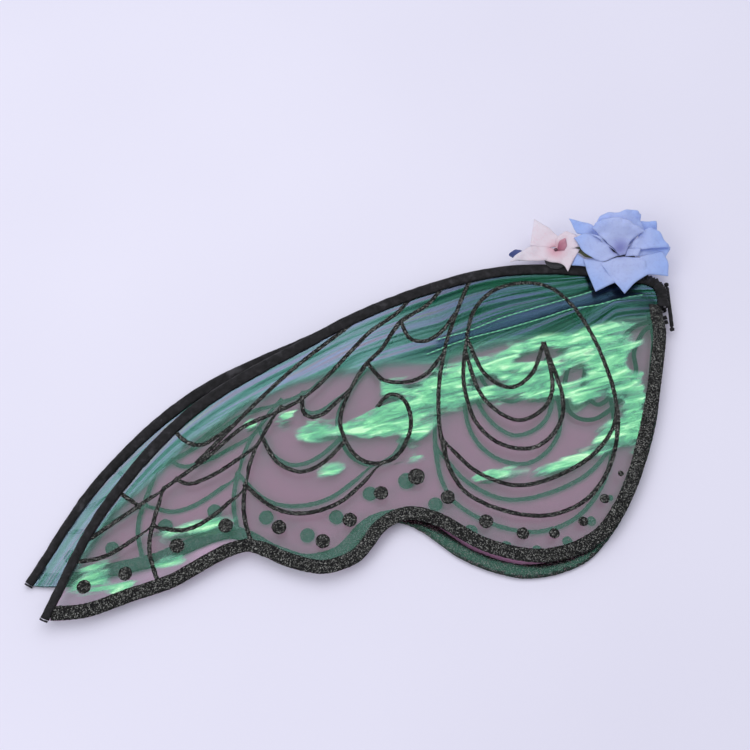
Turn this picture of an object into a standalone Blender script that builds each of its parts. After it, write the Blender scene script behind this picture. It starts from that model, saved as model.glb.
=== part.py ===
"""A pair of costume fairy wings, folded flat on each other as they are packed.

Each wing is a clear film with a glitter print, hung from a steel wire that runs in a fabric
sleeve along the leading edge and turns down the root. Both roots fold on one spine, like the
covers of a book, and two elastic shoulder loops lie between the wings. A blue fabric rose and
a pink blossom are glued to the left wing's root.

Origin: on the spine's outer face, below its middle. +Y runs up the spine and the wings reach along -X.
The fold's middle plane is z = 0, with the left wing above it and the right wing below. Plan
places are (x, y) in millimetres, and "out" is the distance from the fold's middle plane:
upwards on the left wing, downwards on the right one.
"""

import math

import bmesh
import bpy
from mathutils import Matrix, Vector, geometry

MM = 0.001

# Driving dimensions, in millimetres
SLEEVE_WIDTH = 8.0
SLEEVE_THICKNESS = 4.0
SLEEVE_WALL = 0.8  # fabric over and under the wire
SIDE_WALL = 1.4
SLEEVE_CORNER = 1.0
LIP_GAP = 0.2  # between the film and the lips of the sleeve's slit
FOLD_GAP = 3.0  # room between the folded wings, where the elastic lies
FILM_THICKNESS = 0.3
PRINT_THICKNESS = 0.3
LAYER_GAP = 0.1
BORDER_WIDTH = 9.0
VEIN_WIDTH = 2.8
WIRE_RADIUS = 0.9
WIRE_CAP_LENGTH = 5.8
WIRE_CAP_WALL = 0.2
THREAD_THICKNESS = 0.4
TACK_THICKNESS = 1.2
SEAM_END = 3.0  # the seam stops this far from either end of the sleeve
ELASTIC_WIDTH = 3.2
ELASTIC_THICKNESS = 0.8
SPINE_LENGTH = 30.0
SPINE_MIDDLE = 8.0  # above the origin, so that the spine lies along the gathers
SPINE_RADIUS = 1.7
SPINE_FACE = 1.5  # from the hinge axis to the binding's flat outer face
SPINE_CORD_RADIUS = 0.8
GATHER_LENGTH = 30.0  # the pleated stretch of sleeve that turns down the root
PLEAT_STEP = 1.9
PLEAT_DEPTH = 0.07  # how much smaller the sleeve is in the bottom of a pleat
PETAL_THICKNESS = 0.45
PETAL_PITCH = 0.75  # height from one petal of the rose to the next
CLEARANCE = 0.4  # between neighbours in a row

INNER_FACE = FOLD_GAP / 2
OUTER_FACE = INNER_FACE + SLEEVE_THICKNESS
AXIS_X = -SPINE_FACE  # the hinge axis, along +Y
SLEEVE_MIDDLE = (INNER_FACE + OUTER_FACE) / 2
FILM_LOW = SLEEVE_MIDDLE - 0.2
FILM_HIGH = FILM_LOW + FILM_THICKNESS
PRINT_LOW = FILM_HIGH + LAYER_GAP
PRINT_HIGH = PRINT_LOW + PRINT_THICKNESS
FILM_INSET = 1.2  # from the sleeve's centre line to the film's edge inside it
WIRE_OFFSET = 1.0  # the wire lies this far outside the sleeve's centre line
LEFT, RIGHT = 1, -1

# Centre line of the sleeve: up the leading edge from the tip, round the corner, down the root
LEADING_EDGE = (
    (-411, -210), (-381, -139), (-330, -73), (-258, -24), (-200, 8), (-135, 31),
    (-85, 36), (-40, 32), (-15, 27), (-7.5, 20), (-6.7, 12), (-6.7, 4),
)
# Free edge, from the end of the sleeve at the root round the three lobes to the tip
FREE_EDGE = (
    (-7.9, 2), (-7, -12), (-10, -31), (-18, -66), (-28, -99), (-40, -129), (-61, -159), (-90, -173),
    (-115, -174), (-143, -166), (-167, -152), (-186, -147), (-202, -155), (-216, -173),
    (-240, -182), (-267, -176), (-288, -168), (-310, -177), (-332, -190), (-357, -199),
    (-385, -209), (-407, -211),
)
# Glitter veins. One that starts or ends past the film's edge is cut off by that edge.
VEINS = {
    "cell_loop": (
        (-145, -20), (-140, 1), (-126, 18), (-104, 25), (-82, 20), (-64, -3), (-51, -39),
        (-46, -73), (-53, -107), (-70, -132), (-96, -144), (-125, -141), (-150, -128),
        (-161, -107), (-163, -92),
    ),
    "cell_outer_side": ((-139, 32), (-150, 5), (-160, -26), (-165, -57), (-165, -85), (-162, -104)),
    "cell_sling": (
        (-164, -91), (-144, -113), (-117, -124), (-90, -118), (-65, -103), (-50, -84), (-46, -68),
    ),
    "long_crescent": (
        (-145, -19), (-148, -50), (-141, -80), (-124, -96), (-103, -98), (-87, -84), (-82, -62),
        (-92, -21),
    ),
    "middle_crescent": (
        (-146, -25), (-140, -52), (-130, -69), (-112, -79), (-94, -69), (-88, -50), (-92, -21),
    ),
    "small_crescent": ((-144, -19), (-134, -44), (-117, -55), (-101, -44), (-92, -21)),
    "spiral": (
        (-156, 28), (-172, 7), (-190, -5), (-203, -26), (-214, -38), (-226, -60), (-231, -81),
        (-222, -102), (-207, -109), (-192, -102), (-184, -82), (-188, -65), (-198, -60), (-206, -69),
    ),
    "root_scallop": ((-213, -37), (-203, -49), (-187, -51), (-172, -44), (-160, -27)),
    "edge_scallop": ((-190, -5), (-184, -18), (-173, -20), (-162, -13), (-152, 1)),
    "inner_scallop": ((-257, -61), (-255, -74), (-244, -75), (-224, -56)),
    "middle_scallop": ((-283, -90), (-272, -108), (-256, -115), (-241, -108), (-228, -94)),
    "lower_scallop": ((-293, -123), (-275, -138), (-256, -143), (-230, -135), (-202, -108)),
    "upper_vein": ((-209, 6), (-232, -14), (-263, -41), (-290, -69), (-311, -93), (-325, -109)),
    "middle_vein": (
        (-178, 20), (-193, 1), (-211, -13), (-235, -41), (-259, -65), (-296, -84), (-318, -105),
        (-353, -133), (-389, -160),
    ),
    "lower_vein": ((-270, -68), (-286, -97), (-292, -124), (-291, -147), (-285, -166)),
    "upper_edge_scallop": ((-345, -82), (-335, -92), (-322, -96), (-303, -83)),
    "outer_scallop": ((-338, -119), (-328, -123), (-310, -115), (-286, -97)),
    "twig": ((-376, -127), (-358, -139)),
    "tip_stem": ((-344, -125), (-349, -148), (-350, -168), (-341, -192)),
    "tip_inner_scallop": ((-350, -151), (-330, -154), (-312, -145), (-291, -125)),
    "tip_scallop": ((-397, -175), (-378, -171), (-362, -161), (-348, -149)),
}
# Printed spots inside the free edge, root to tip: x, y, radius
SPOTS = (
    (-48, -116, 2.0), (-60, -133, 3.2), (-75, -148, 3.2), (-94, -156, 3.4), (-114, -156, 4.0),
    (-137, -148, 4.6), (-161, -132, 4.6), (-181, -118, 5.5), (-204, -129, 4.7), (-224, -147, 4.7),
    (-241, -161, 4.7), (-269, -152, 4.7), (-303, -151, 4.7), (-333, -164, 4.7), (-364, -182, 4.4),
    (-389, -190, 4.4),
)
# Elastic loops, from the upper end at the spine to the lower one
LEFT_STRAP = (
    (-4, 18), (-18, 26), (-39, 24), (-57, 6), (-68, -20), (-79, -50), (-77, -72), (-62, -77),
    (-44, -64), (-30, -42), (-30, -28), (-20, -10), (-4, -4),
)
RIGHT_STRAP = (
    (-4, 13), (-19, 19), (-38, 13), (-53, -6), (-62, -32), (-66, -54), (-58, -66), (-46, -56),
    (-38, -38), (-40, -24), (-28, -8), (-4, 0),
)

ROSE_CENTRE = (-36, 46)
BLOSSOM_CENTRE = (-80, 48)

# The packed right wing has slipped round under the left one, except where the wires are tied
SLIP_CENTRE = (-191, -57)
SLIP_ANGLE = math.radians(5.8)
SLIP_REACH = 75.0
TIED_FROM_X = -190
TIED_TO_Y = -27

# Finishes: base colour, roughness, metallic
FINISHES = {
    "film": ((0.36, 0.52, 0.46), 0.12, 0.0),
    "glitter": ((0.012, 0.011, 0.014), 0.55, 0.3),
    "black_fabric": ((0.010, 0.009, 0.012), 0.85, 0.0),
    "thread": ((0.016, 0.015, 0.018), 0.7, 0.0),
    "steel": ((0.55, 0.56, 0.58), 0.3, 1.0),
    "vinyl": ((0.05, 0.05, 0.055), 0.45, 0.0),
    "elastic": ((0.014, 0.013, 0.016), 0.8, 0.0),
    "felt": ((0.02, 0.02, 0.025), 0.95, 0.0),
    "blue_fabric": ((0.36, 0.47, 0.92), 0.75, 0.0),
    "dark_blue_fabric": ((0.10, 0.13, 0.33), 0.75, 0.0),
    "pink_fabric": ((0.86, 0.66, 0.70), 0.75, 0.0),
    "deep_pink_fabric": ((0.72, 0.30, 0.40), 0.75, 0.0),
    "green_fabric": ((0.13, 0.16, 0.06), 0.75, 0.0),
    "dark_bead": ((0.05, 0.01, 0.03), 0.3, 0.0),
}


# --- plan geometry -----------------------------------------------------------------------------


def smooth_line(points, tolerance=0.5, longest=20.0):
    """A Catmull-Rom curve through the points, with samples only as close as its bends need."""
    if len(points) == 2:
        return [Vector(point) for point in points]
    knots = [Vector(point) for point in points]
    knots = [2 * knots[0] - knots[1], *knots, 2 * knots[-1] - knots[-2]]
    line = [knots[1]]
    for before, start, end, after in zip(knots, knots[1:], knots[2:], knots[3:]):
        chord = (end - start).length
        turn = (end - before).angle(after - start, 0.0)
        by_bend = math.sqrt(chord * turn / (8 * tolerance))
        steps = max(1, math.ceil(chord / longest), math.ceil(by_bend))
        for step in range(1, steps + 1):
            t = step / steps
            line.append(
                0.5 * (2 * start + (end - before) * t
                + (2 * before - 5 * start + 4 * end - after) * t * t
                + (3 * start - before - 3 * end + after) * t ** 3)
            )
    return line


def side_normals(line):
    """Unit normals to the left of a plan line, one for each of its points."""
    normals = []
    for i, _ in enumerate(line):
        along = (line[min(i + 1, len(line) - 1)] - line[max(i - 1, 0)]).normalized()
        normals.append(Vector((-along.y, along.x)))
    return normals


def offset_line(line, distance):
    return [point + normal * distance for point, normal in zip(line, side_normals(line))]


def ribbon(line, width, shift=0.0):
    """Closed outline of a band along a line. shift moves the band to the line's left."""
    return offset_line(line, shift + width / 2) + offset_line(line, shift - width / 2)[::-1]


def circle(x, y, radius, corners):
    turns = (math.tau * i / corners for i in range(corners))
    return [Vector((x + radius * math.cos(turn), y + radius * math.sin(turn))) for turn in turns]


def length_along(line):
    """Distance from the line's start to each of its points."""
    lengths = [0.0]
    for start, end in zip(line, line[1:]):
        lengths.append(lengths[-1] + (end - start).length)
    return lengths


def point_at(line, distance):
    lengths = length_along(line)
    for i in range(len(line) - 1):
        if lengths[i + 1] >= distance or i == len(line) - 2:
            part = (distance - lengths[i]) / (lengths[i + 1] - lengths[i])
            return line[i].lerp(line[i + 1], part)


def stretch(line, start, end, step=None):
    """The part of a line between two distances from its start, resampled if step is given."""
    if step:
        count = max(1, round((end - start) / step))
        return [point_at(line, start + (end - start) * i / count) for i in range(count + 1)]
    inner = [point for point, at in zip(line, length_along(line)) if start + 1 < at < end - 1]
    return [point_at(line, start), *inner, point_at(line, end)]


def eased(value):
    value = min(max(value, 0.0), 1.0)
    return value * value * (3 - 2 * value)


SLEEVE_LINE = smooth_line(LEADING_EDGE)
SLEEVE_LENGTH = length_along(SLEEVE_LINE)[-1]
FILM_EDGE_LINE = offset_line(SLEEVE_LINE, -FILM_INSET)
FREE_EDGE_LINE = smooth_line(FREE_EDGE)
TIED_LINE = [
    Vector((AXIS_X, TIED_TO_Y)),
    *(point for point in reversed(SLEEVE_LINE) if point.x > TIED_FROM_X),
]


def tied_distance(point):
    nearest = []
    for start, end in zip(TIED_LINE, TIED_LINE[1:]):
        foot, along = geometry.intersect_point_line(point, start, end)
        foot = start if along < 0 else end if along > 1 else foot.to_2d()
        nearest.append((point - foot).length)
    return min(nearest)


def packed(point, side):
    """Where a plan point lies in the folded pack: the right wing has slipped a little."""
    if side == LEFT:
        return point
    slip = SLIP_ANGLE * eased(tied_distance(point) / SLIP_REACH)
    return Vector(SLIP_CENTRE) + Matrix.Rotation(-slip, 2) @ (point - Vector(SLIP_CENTRE))


# --- objects -----------------------------------------------------------------------------------


def make_material(name, finish):
    colour, roughness, metallic = FINISHES[finish]
    material = bpy.data.materials.new(name + "_finish")
    material.diffuse_color = (*colour, 1.0)
    material.use_nodes = True
    shader = material.node_tree.nodes["Principled BSDF"]
    shader.inputs["Base Color"].default_value = (*colour, 1.0)
    shader.inputs["Roughness"].default_value = roughness
    shader.inputs["Metallic"].default_value = metallic
    return material


def add_joint_empty(name):
    """An empty on the spine's axis, for the pieces that turn about it."""
    empty = bpy.data.objects.new(name, None)
    empty.empty_display_size = 20 * MM
    empty.location = (AXIS_X * MM, 0, 0)
    bpy.context.scene.collection.objects.link(empty)
    return empty


def add_solid(name, shape, finish, joint, smooth=False):
    """An object from a bmesh in millimetres, with its origin on the axis of its joint."""
    bmesh.ops.transform(shape, matrix=Matrix.Scale(MM, 4), verts=shape.verts)
    bmesh.ops.translate(shape, vec=-joint.location, verts=shape.verts)
    bmesh.ops.recalc_face_normals(shape, faces=shape.faces)
    mesh = bpy.data.meshes.new(name)
    shape.to_mesh(mesh)
    shape.free()
    mesh.materials.append(make_material(name, finish))
    if smooth:
        mesh.shade_smooth()
        mesh.set_sharp_from_angle(angle=math.radians(40))
    solid = bpy.data.objects.new(name, mesh)
    solid.parent = joint
    bpy.context.scene.collection.objects.link(solid)
    return solid


def shape_from(places, faces):
    shape = bmesh.new()
    corners = [shape.verts.new(place) for place in places]
    for face in faces:
        shape.faces.new([corners[i] for i in face])
    return shape


def closed_shell(low, high, faces):
    """A solid between two layers of points that share their faces, with walls round the edges."""
    count = len(low)
    shell = []
    edges = set()
    for face in faces:
        shell += [face[::-1], tuple(i + count for i in face)]
        edges |= set(zip(face, face[1:] + face[:1]))
    shell += [(a, b, b + count, a + count) for a, b in sorted(edges) if (b, a) not in edges]
    return shape_from([*low, *high], shell)


def turns_left(outline):
    return sum(a.cross(b) for a, b in zip(outline, outline[1:] + outline[:1])) > 0


def add_slab(name, outlines, low, high, side, finish, joint, clip=None):
    """The union of flat outlines, cut off by a clip outline, from out = low to out = high."""
    rings = [*outlines, clip] if clip else outlines
    rings = [ring if turns_left(ring) else ring[::-1] for ring in rings]
    firsts = [sum(len(ring) for ring in rings[:i]) for i, _ in enumerate(rings)]
    indices = [list(range(first, first + len(ring))) for first, ring in zip(firsts, rings)]
    points = [point for ring in rings for point in ring]
    found, _, triangles, _, _, owners = geometry.delaunay_2d_cdt(points, [], indices, 1, 0.001)
    clip_ring = len(rings) - 1
    kept = [
        triangle for triangle, own in zip(triangles, owners)
        if own and (clip is None or (clip_ring in own and len(own) > 1))
    ]
    used = sorted({i for triangle in kept for i in triangle})
    place = {old: new for new, old in enumerate(used)}
    faces = [tuple(place[i] for i in triangle) for triangle in kept]
    flat = [packed(found[i], side) for i in used]
    low_layer = [(*point, side * low) for point in flat]
    high_layer = [(*point, side * high) for point in flat]
    return add_solid(name, closed_shell(low_layer, high_layer, faces), finish, joint)


def add_sweep(name, line, profile, side, finish, joint, pleat_depth=0.0, smooth=False):
    """A solid with one cross-section along a plan line. The profile is a closed outline of
    (across, out), across growing to the line's left. Every second section is a pleat's bottom."""
    places = []
    for i, (point, normal) in enumerate(zip(line, side_normals(line))):
        scale = 1.0 - pleat_depth * (i % 2)
        for across, out in profile:
            spot = point + normal * across * scale
            places.append((*spot, side * (SLEEVE_MIDDLE + (out - SLEEVE_MIDDLE) * scale)))
    size = len(profile)
    faces = [tuple(range(size)), tuple(range(size * (len(line) - 1), size * len(line)))]
    for first in range(0, size * (len(line) - 1), size):
        for i in range(size):
            a, b = first + i, first + (i + 1) % size
            faces.append((a, b, b + size, a + size))
    return add_solid(name, shape_from(places, faces), finish, joint, smooth)


def add_sheet(name, rows, thickness, finish, joint, wraps=False):
    """A thin shell over rows of (x, y, out) on the left wing, thickened straight outwards."""
    columns = len(rows[0])
    places = [place for row in rows for place in row]
    low = [(x, y, out) for x, y, out in places]
    high = [(x, y, out + thickness) for x, y, out in places]
    faces = []
    for first in range(0, columns * (len(rows) - 1), columns):
        for i in range(columns if wraps else columns - 1):
            a, b = first + i, first + (i + 1) % columns
            faces.append((a, b, b + columns, a + columns))
    return add_solid(name, closed_shell(low, high, faces), finish, joint, smooth=True)


def add_blob(name, centre, radii, finish, joint, segments=10, rings=6):
    shape = bmesh.new()
    bmesh.ops.create_uvsphere(shape, u_segments=segments, v_segments=rings, radius=1.0)
    bmesh.ops.scale(shape, vec=radii, verts=shape.verts)
    x, y, out = centre
    bmesh.ops.translate(shape, vec=(x, y, out), verts=shape.verts)
    return add_solid(name, shape, finish, joint, smooth=True)


def box_profile(across, width, low, high):
    half = width / 2
    return [(across - half, low), (across + half, low), (across + half, high), (across - half, high)]


def round_profile(across, out, radius, corners):
    return [tuple(point) for point in circle(across, out, radius, corners)]


# --- wings -------------------------------------------------------------------------------------


def sleeve_profile():
    """A flattened fabric tube round the wire, slit along its inner side for the film."""
    half = SLEEVE_WIDTH / 2
    flat = half - SLEEVE_CORNER
    hollow = half - SIDE_WALL
    low, high = INNER_FACE + SLEEVE_WALL, OUTER_FACE - SLEEVE_WALL
    lip_low, lip_high = FILM_LOW - LIP_GAP, PRINT_HIGH + LIP_GAP
    return [
        (-half, lip_high), (-half, high), (-flat, OUTER_FACE), (flat, OUTER_FACE),
        (half, high), (half, low), (flat, INNER_FACE),
        (-flat, INNER_FACE), (-half, low), (-half, lip_low), (-hollow, lip_low),
        (-hollow, low), (hollow, low), (hollow, high), (-hollow, high), (-hollow, lip_high),
    ]


def packed_line(line, side):
    return [packed(point, side) for point in line]


def add_film(prefix, side, joint):
    outline = FILM_EDGE_LINE + FREE_EDGE_LINE
    film = add_slab(prefix + "film", [outline], FILM_LOW, FILM_HIGH, side, "film", joint)
    spots = add_spot_stamp(prefix, side, joint)
    union = film.modifiers.new("printed_spots", "BOOLEAN")
    union.operation = "UNION"
    union.object = spots


def add_spot_stamp(prefix, side, joint):
    """All the raised spots as one guide, which the film takes in by a Boolean union."""
    shape = bmesh.new()
    root = (FILM_LOW + FILM_HIGH) / 2
    for x, y, radius in SPOTS:
        place = (*packed(Vector((x, y)), side), side * (root + PRINT_HIGH) / 2)
        bmesh.ops.create_cone(
            shape, cap_ends=True, segments=8, radius1=radius, radius2=radius,
            depth=PRINT_HIGH - root, matrix=Matrix.Translation(place),
        )
    stamp = add_solid(prefix + "spot_stamp", shape, "glitter", joint)
    stamp.hide_render = True
    stamp.display_type = "WIRE"
    return stamp


def add_print(prefix, side, joint):
    """The glitter border and veins, one connected print on the film's outer face."""
    border_line = [FREE_EDGE_LINE[0] + Vector((0, 6)), *FREE_EDGE_LINE]
    outlines = [ribbon(border_line, BORDER_WIDTH, -BORDER_WIDTH / 2)]
    outlines += [ribbon(smooth_line(points), VEIN_WIDTH) for points in VEINS.values()]
    film = FILM_EDGE_LINE + FREE_EDGE_LINE
    add_slab(prefix + "glitter_print", outlines, PRINT_LOW, PRINT_HIGH, side, "glitter", joint, clip=film)


def add_leading_edge(prefix, side, joint):
    """Sleeve, its pleated root end, the wire inside and the stitching that closes it."""
    line = packed_line(SLEEVE_LINE, side)
    length = length_along(line)[-1]
    gather_start = length - GATHER_LENGTH
    sleeve = stretch(line, 0, gather_start - CLEARANCE)
    add_sweep(prefix + "leading_edge_sleeve", sleeve, sleeve_profile(), side, "black_fabric", joint)
    gather = stretch(line, gather_start, length, PLEAT_STEP)
    add_sweep(
        prefix + "root_gather", gather, sleeve_profile(), side, "black_fabric", joint, PLEAT_DEPTH
    )
    cap_profile = round_profile(WIRE_OFFSET, SLEEVE_MIDDLE, WIRE_RADIUS + WIRE_CAP_WALL, 8)
    cap = stretch(line, CLEARANCE, WIRE_CAP_LENGTH)
    add_sweep(prefix + "wire_tip_cap", cap, cap_profile, side, "vinyl", joint, smooth=True)
    wire_profile = round_profile(WIRE_OFFSET, SLEEVE_MIDDLE, WIRE_RADIUS, 6)
    wire = stretch(line, WIRE_CAP_LENGTH + CLEARANCE, length - 2)
    add_sweep(prefix + "frame_wire", wire, wire_profile, side, "steel", joint, smooth=True)
    back = (line[0] - line[1]).normalized()
    tack = [line[0] + back * (CLEARANCE + TACK_THICKNESS), line[0] + back * CLEARANCE]
    tack_profile = box_profile(0, SLEEVE_WIDTH - 1, INNER_FACE + 0.3, OUTER_FACE - 0.3)
    add_sweep(prefix + "tip_bar_tack", tack, tack_profile, side, "thread", joint)
    seam_low = PRINT_HIGH + LIP_GAP + LAYER_GAP
    seam_across = -SLEEVE_WIDTH / 2 - CLEARANCE / 2 - LAYER_GAP
    seam_profile = box_profile(seam_across, THREAD_THICKNESS, seam_low, seam_low + THREAD_THICKNESS)
    seam = stretch(line, SEAM_END, gather_start - SEAM_END)
    add_sweep(prefix + "sleeve_seam_thread", seam, seam_profile, side, "thread", joint)


def add_wing(prefix, side, joint):
    add_film(prefix, side, joint)
    add_print(prefix, side, joint)
    add_leading_edge(prefix, side, joint)


# --- spine and elastic -------------------------------------------------------------------------


def add_spine(joint):
    """The binding is a channel that opens towards the wings, round a cord with knotted ends."""
    low, high = SPINE_MIDDLE - SPINE_LENGTH / 2, SPINE_MIDDLE + SPINE_LENGTH / 2
    line = [Vector((AXIS_X, low)), Vector((AXIS_X, high))]
    side = SPINE_FACE - 0.1
    hollow = SPINE_CORD_RADIUS + 0.25
    channel = [
        (1.0, side), (-1.0, side), (-SPINE_FACE, 0.9), (-SPINE_FACE, -0.9), (-1.0, -side),
        (1.0, -side), (1.0, -hollow), (-hollow, -hollow), (-hollow, hollow), (1.0, hollow),
    ]
    add_sweep("spine_binding", line, channel, LEFT, "black_fabric", joint)
    cord_line = [Vector((AXIS_X, low - 1)), Vector((AXIS_X, high + 1))]
    cord = round_profile(0, 0, SPINE_CORD_RADIUS, 8)
    add_sweep("spine_core_cord", cord_line, cord, LEFT, "thread", joint, smooth=True)
    knot_radii = (SPINE_RADIUS, 1.4, SPINE_RADIUS)
    for name, height in (("spine_top_knot", high + 2.6), ("spine_bottom_knot", low - 2.6)):
        add_blob(name, (AXIS_X, height, 0), knot_radii, "thread", joint, 8, 6)


def add_strap(prefix, points, side, joint):
    line = smooth_line(points)
    low = LAYER_GAP + 0.05
    high = low + ELASTIC_THICKNESS
    band = box_profile(0, ELASTIC_WIDTH, low, high)
    add_sweep(prefix + "shoulder_strap", line, band, side, "elastic", joint)
    length = length_along(line)[-1]
    tack = box_profile(0, ELASTIC_WIDTH - 0.6, high + 0.05, high + 0.4)
    for end, start in (("upper", 1.5), ("lower", length - 4)):
        name = prefix + "strap_" + end + "_tack"
        add_sweep(name, stretch(line, start, start + 2.5), tack, side, "thread", joint)


# --- flowers, all on the left wing -------------------------------------------------------------

PAD_LOW = OUTER_FACE + 0.8
PAD_HIGH = PAD_LOW + 0.6
TIE_THICKNESS = 0.5
ROSE_LOW = PAD_HIGH + 0.7

# Petals from the lowest to the topmost: direction in degrees, length, width, upward cupping
ROSE_PETALS = {
    "rose_outer_petal_1": (-118, 36, 26, 0.006),
    "rose_outer_petal_2": (140, 43, 26, 0.006),
    "rose_outer_petal_3": (3, 34, 30, 0.006),
    "rose_outer_petal_4": (83, 36, 34, 0.006),
    "rose_outer_petal_5": (38, 37, 30, 0.006),
    "rose_outer_petal_6": (-72, 35, 40, 0.006),
    "rose_middle_petal_1": (172, 27, 30, 0.012),
    "rose_middle_petal_2": (30, 27, 28, 0.012),
    "rose_middle_petal_3": (-60, 23, 26, 0.012),
    "rose_middle_petal_4": (98, 28, 32, 0.012),
    "rose_inner_petal_1": (150, 17, 18, 0.02),
    "rose_inner_petal_2": (-20, 15, 16, 0.02),
    "rose_inner_petal_3": (75, 19, 20, 0.018),
}
# Lobes of the five-petalled blossom: direction in degrees and reach
BLOSSOM_LOBES = ((48, 22), (120, 30), (192, 31), (264, 20), (336, 23))


def petal_rows(centre, direction, length, width, low, cupping):
    """A grid of places over one petal: narrow at the centre, squarish, with a pointed tip."""
    along = Vector((math.cos(direction), math.sin(direction)))
    across = Vector((-along.y, along.x))
    rows = []
    for i in range(5):
        u = i / 4
        half = width / 2 * min(1.0, 0.25 + 1.5 * u) * (1 - 0.45 * u ** 4)
        row = []
        for v in (-1.0, -0.5, 0.0, 0.5, 1.0):
            reach = 2 + (length - 2) * u - 0.3 * width * abs(v) ** 1.5 * u * u
            offset = along * reach + across * (half * v)
            row.append((*(Vector(centre) + offset), low + cupping * offset.length_squared))
        rows.append(row)
    return rows


def add_rose(joint):
    x, y = ROSE_CENTRE
    add_slab("rose_felt_pad", [circle(x, y - 4, 13, 16)], PAD_LOW, PAD_HIGH, LEFT, "felt", joint)
    leaf = petal_rows(ROSE_CENTRE, math.radians(174), 29, 9, PAD_HIGH + 0.15, 0.0)
    add_sheet("rose_leaf", leaf, 0.3, "green_fabric", joint)
    low = ROSE_LOW
    for name, (degrees, length, width, cupping) in ROSE_PETALS.items():
        rows = petal_rows(ROSE_CENTRE, math.radians(degrees), length, width, low, cupping)
        add_sheet(name, rows, PETAL_THICKNESS, "blue_fabric", joint)
        low += PETAL_PITCH
    add_blob("rose_centre", (x, y, low + 3.6), (4.2, 4.2, 3.2), "blue_fabric", joint)


def add_blossom(joint):
    x, y = BLOSSOM_CENTRE
    add_slab("blossom_felt_pad", [circle(x, y - 5, 8, 14)], PAD_LOW, PAD_HIGH, LEFT, "felt", joint)
    low = PAD_HIGH + 0.6
    steps = 30
    rings = []
    for part in (0.06, 0.5, 1.0):
        ring = []
        for step in range(steps):
            turn = math.tau * step / steps
            reach = part * blossom_reach(turn)
            place = Vector((x + reach * math.cos(turn), y + reach * math.sin(turn)))
            ring.append((*place, low + 0.002 * reach * reach))
        rings.append(ring)
    add_sheet("blossom_petals", rings, 0.4, "pink_fabric", joint, wraps=True)
    centre = petal_rows(BLOSSOM_CENTRE, math.radians(40), 9, 9, low + 0.9, 0.01)
    add_sheet("blossom_inner_petal", centre, 0.3, "deep_pink_fabric", joint)
    add_blob("blossom_bead", (x, y, low + 3.2), (1.4, 1.4, 1.3), "dark_bead", joint, 8, 6)
    bud = petal_rows((x - 17, y - 3), math.radians(178), 14, 9, PAD_HIGH - 0.2, 0.0)
    add_sheet("blue_filler_petal", bud, 0.3, "dark_blue_fabric", joint)


def blossom_reach(turn):
    """Radius of the blossom's outline: the lobe that points nearest sets it."""
    reach = 0.0
    for degrees, length in BLOSSOM_LOBES:
        away = abs((turn - math.radians(degrees) + math.pi) % math.tau - math.pi)
        reach = max(reach, length * (1 - 1.33 * away ** 2))
    return max(reach, 7.0)


def add_tie(name, near_x, joint):
    """A wrap of thread round the sleeve, open where the film passes, that holds a flower."""
    at = next(at for point, at in zip(SLEEVE_LINE, length_along(SLEEVE_LINE)) if point.x > near_x)
    half = SLEEVE_WIDTH / 2
    gap = 0.1
    low, high = INNER_FACE - gap, OUTER_FACE + gap
    wrap = [
        (0.4 - half, high), (half + gap, high), (half + gap, low), (0.4 - half, low),
        (0.4 - half, low - 0.4), (half + 0.6, low - 0.4), (half + 0.6, high + TIE_THICKNESS),
        (0.4 - half, high + TIE_THICKNESS),
    ]
    add_sweep(name, stretch(SLEEVE_LINE, at, at + 2.5), wrap, LEFT, "thread", joint)


def main():
    for leftover in list(bpy.data.objects):
        bpy.data.objects.remove(leftover, do_unlink=True)
    bpy.context.scene.unit_settings.system = "METRIC"
    right_wing = add_joint_empty("right_wing_root")
    left_wing = add_joint_empty("wing_fold")
    add_spine(right_wing)
    add_wing("left_", LEFT, left_wing)
    add_wing("right_", RIGHT, right_wing)
    add_strap("left_", LEFT_STRAP, LEFT, add_joint_empty("left_strap_splay"))
    add_strap("right_", RIGHT_STRAP, RIGHT, add_joint_empty("right_strap_splay"))
    add_tie("rose_tie_thread", ROSE_CENTRE[0], left_wing)
    add_tie("blossom_tie_thread", BLOSSOM_CENTRE[0] - 10, left_wing)
    add_rose(left_wing)
    add_blossom(left_wing)


main()
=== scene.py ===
"""The looks of the folded costume fairy wings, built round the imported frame.

Lengths are in millimetres. A side is +1 for the left wing, which lies on top of the pack, and -1
for the right wing under it. "out" is the distance from the fold's middle plane, so a point of
either wing lies at z = side * out. "across" is the distance to the left of a line's direction.
"""

import math
from types import SimpleNamespace

import bpy
import numpy as np
from mathutils import Matrix, Vector, geometry, kdtree, noise


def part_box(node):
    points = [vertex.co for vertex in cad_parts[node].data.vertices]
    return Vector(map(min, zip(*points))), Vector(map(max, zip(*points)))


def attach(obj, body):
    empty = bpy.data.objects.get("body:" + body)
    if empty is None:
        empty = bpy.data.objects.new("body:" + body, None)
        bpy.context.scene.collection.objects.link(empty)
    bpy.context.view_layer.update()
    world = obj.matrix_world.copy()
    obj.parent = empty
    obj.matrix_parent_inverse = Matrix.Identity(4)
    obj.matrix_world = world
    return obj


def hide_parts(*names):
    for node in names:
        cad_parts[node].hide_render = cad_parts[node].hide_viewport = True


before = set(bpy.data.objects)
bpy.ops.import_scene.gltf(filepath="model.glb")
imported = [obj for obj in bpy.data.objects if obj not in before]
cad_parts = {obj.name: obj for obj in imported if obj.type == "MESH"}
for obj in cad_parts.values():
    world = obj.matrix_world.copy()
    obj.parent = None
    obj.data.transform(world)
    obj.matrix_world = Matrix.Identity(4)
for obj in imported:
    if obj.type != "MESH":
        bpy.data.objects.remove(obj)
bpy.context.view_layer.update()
noise.seed_set(1)  # otherwise the points' jitter starts from the clock

MM = 0.001
LEFT, RIGHT = 1, -1

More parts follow.
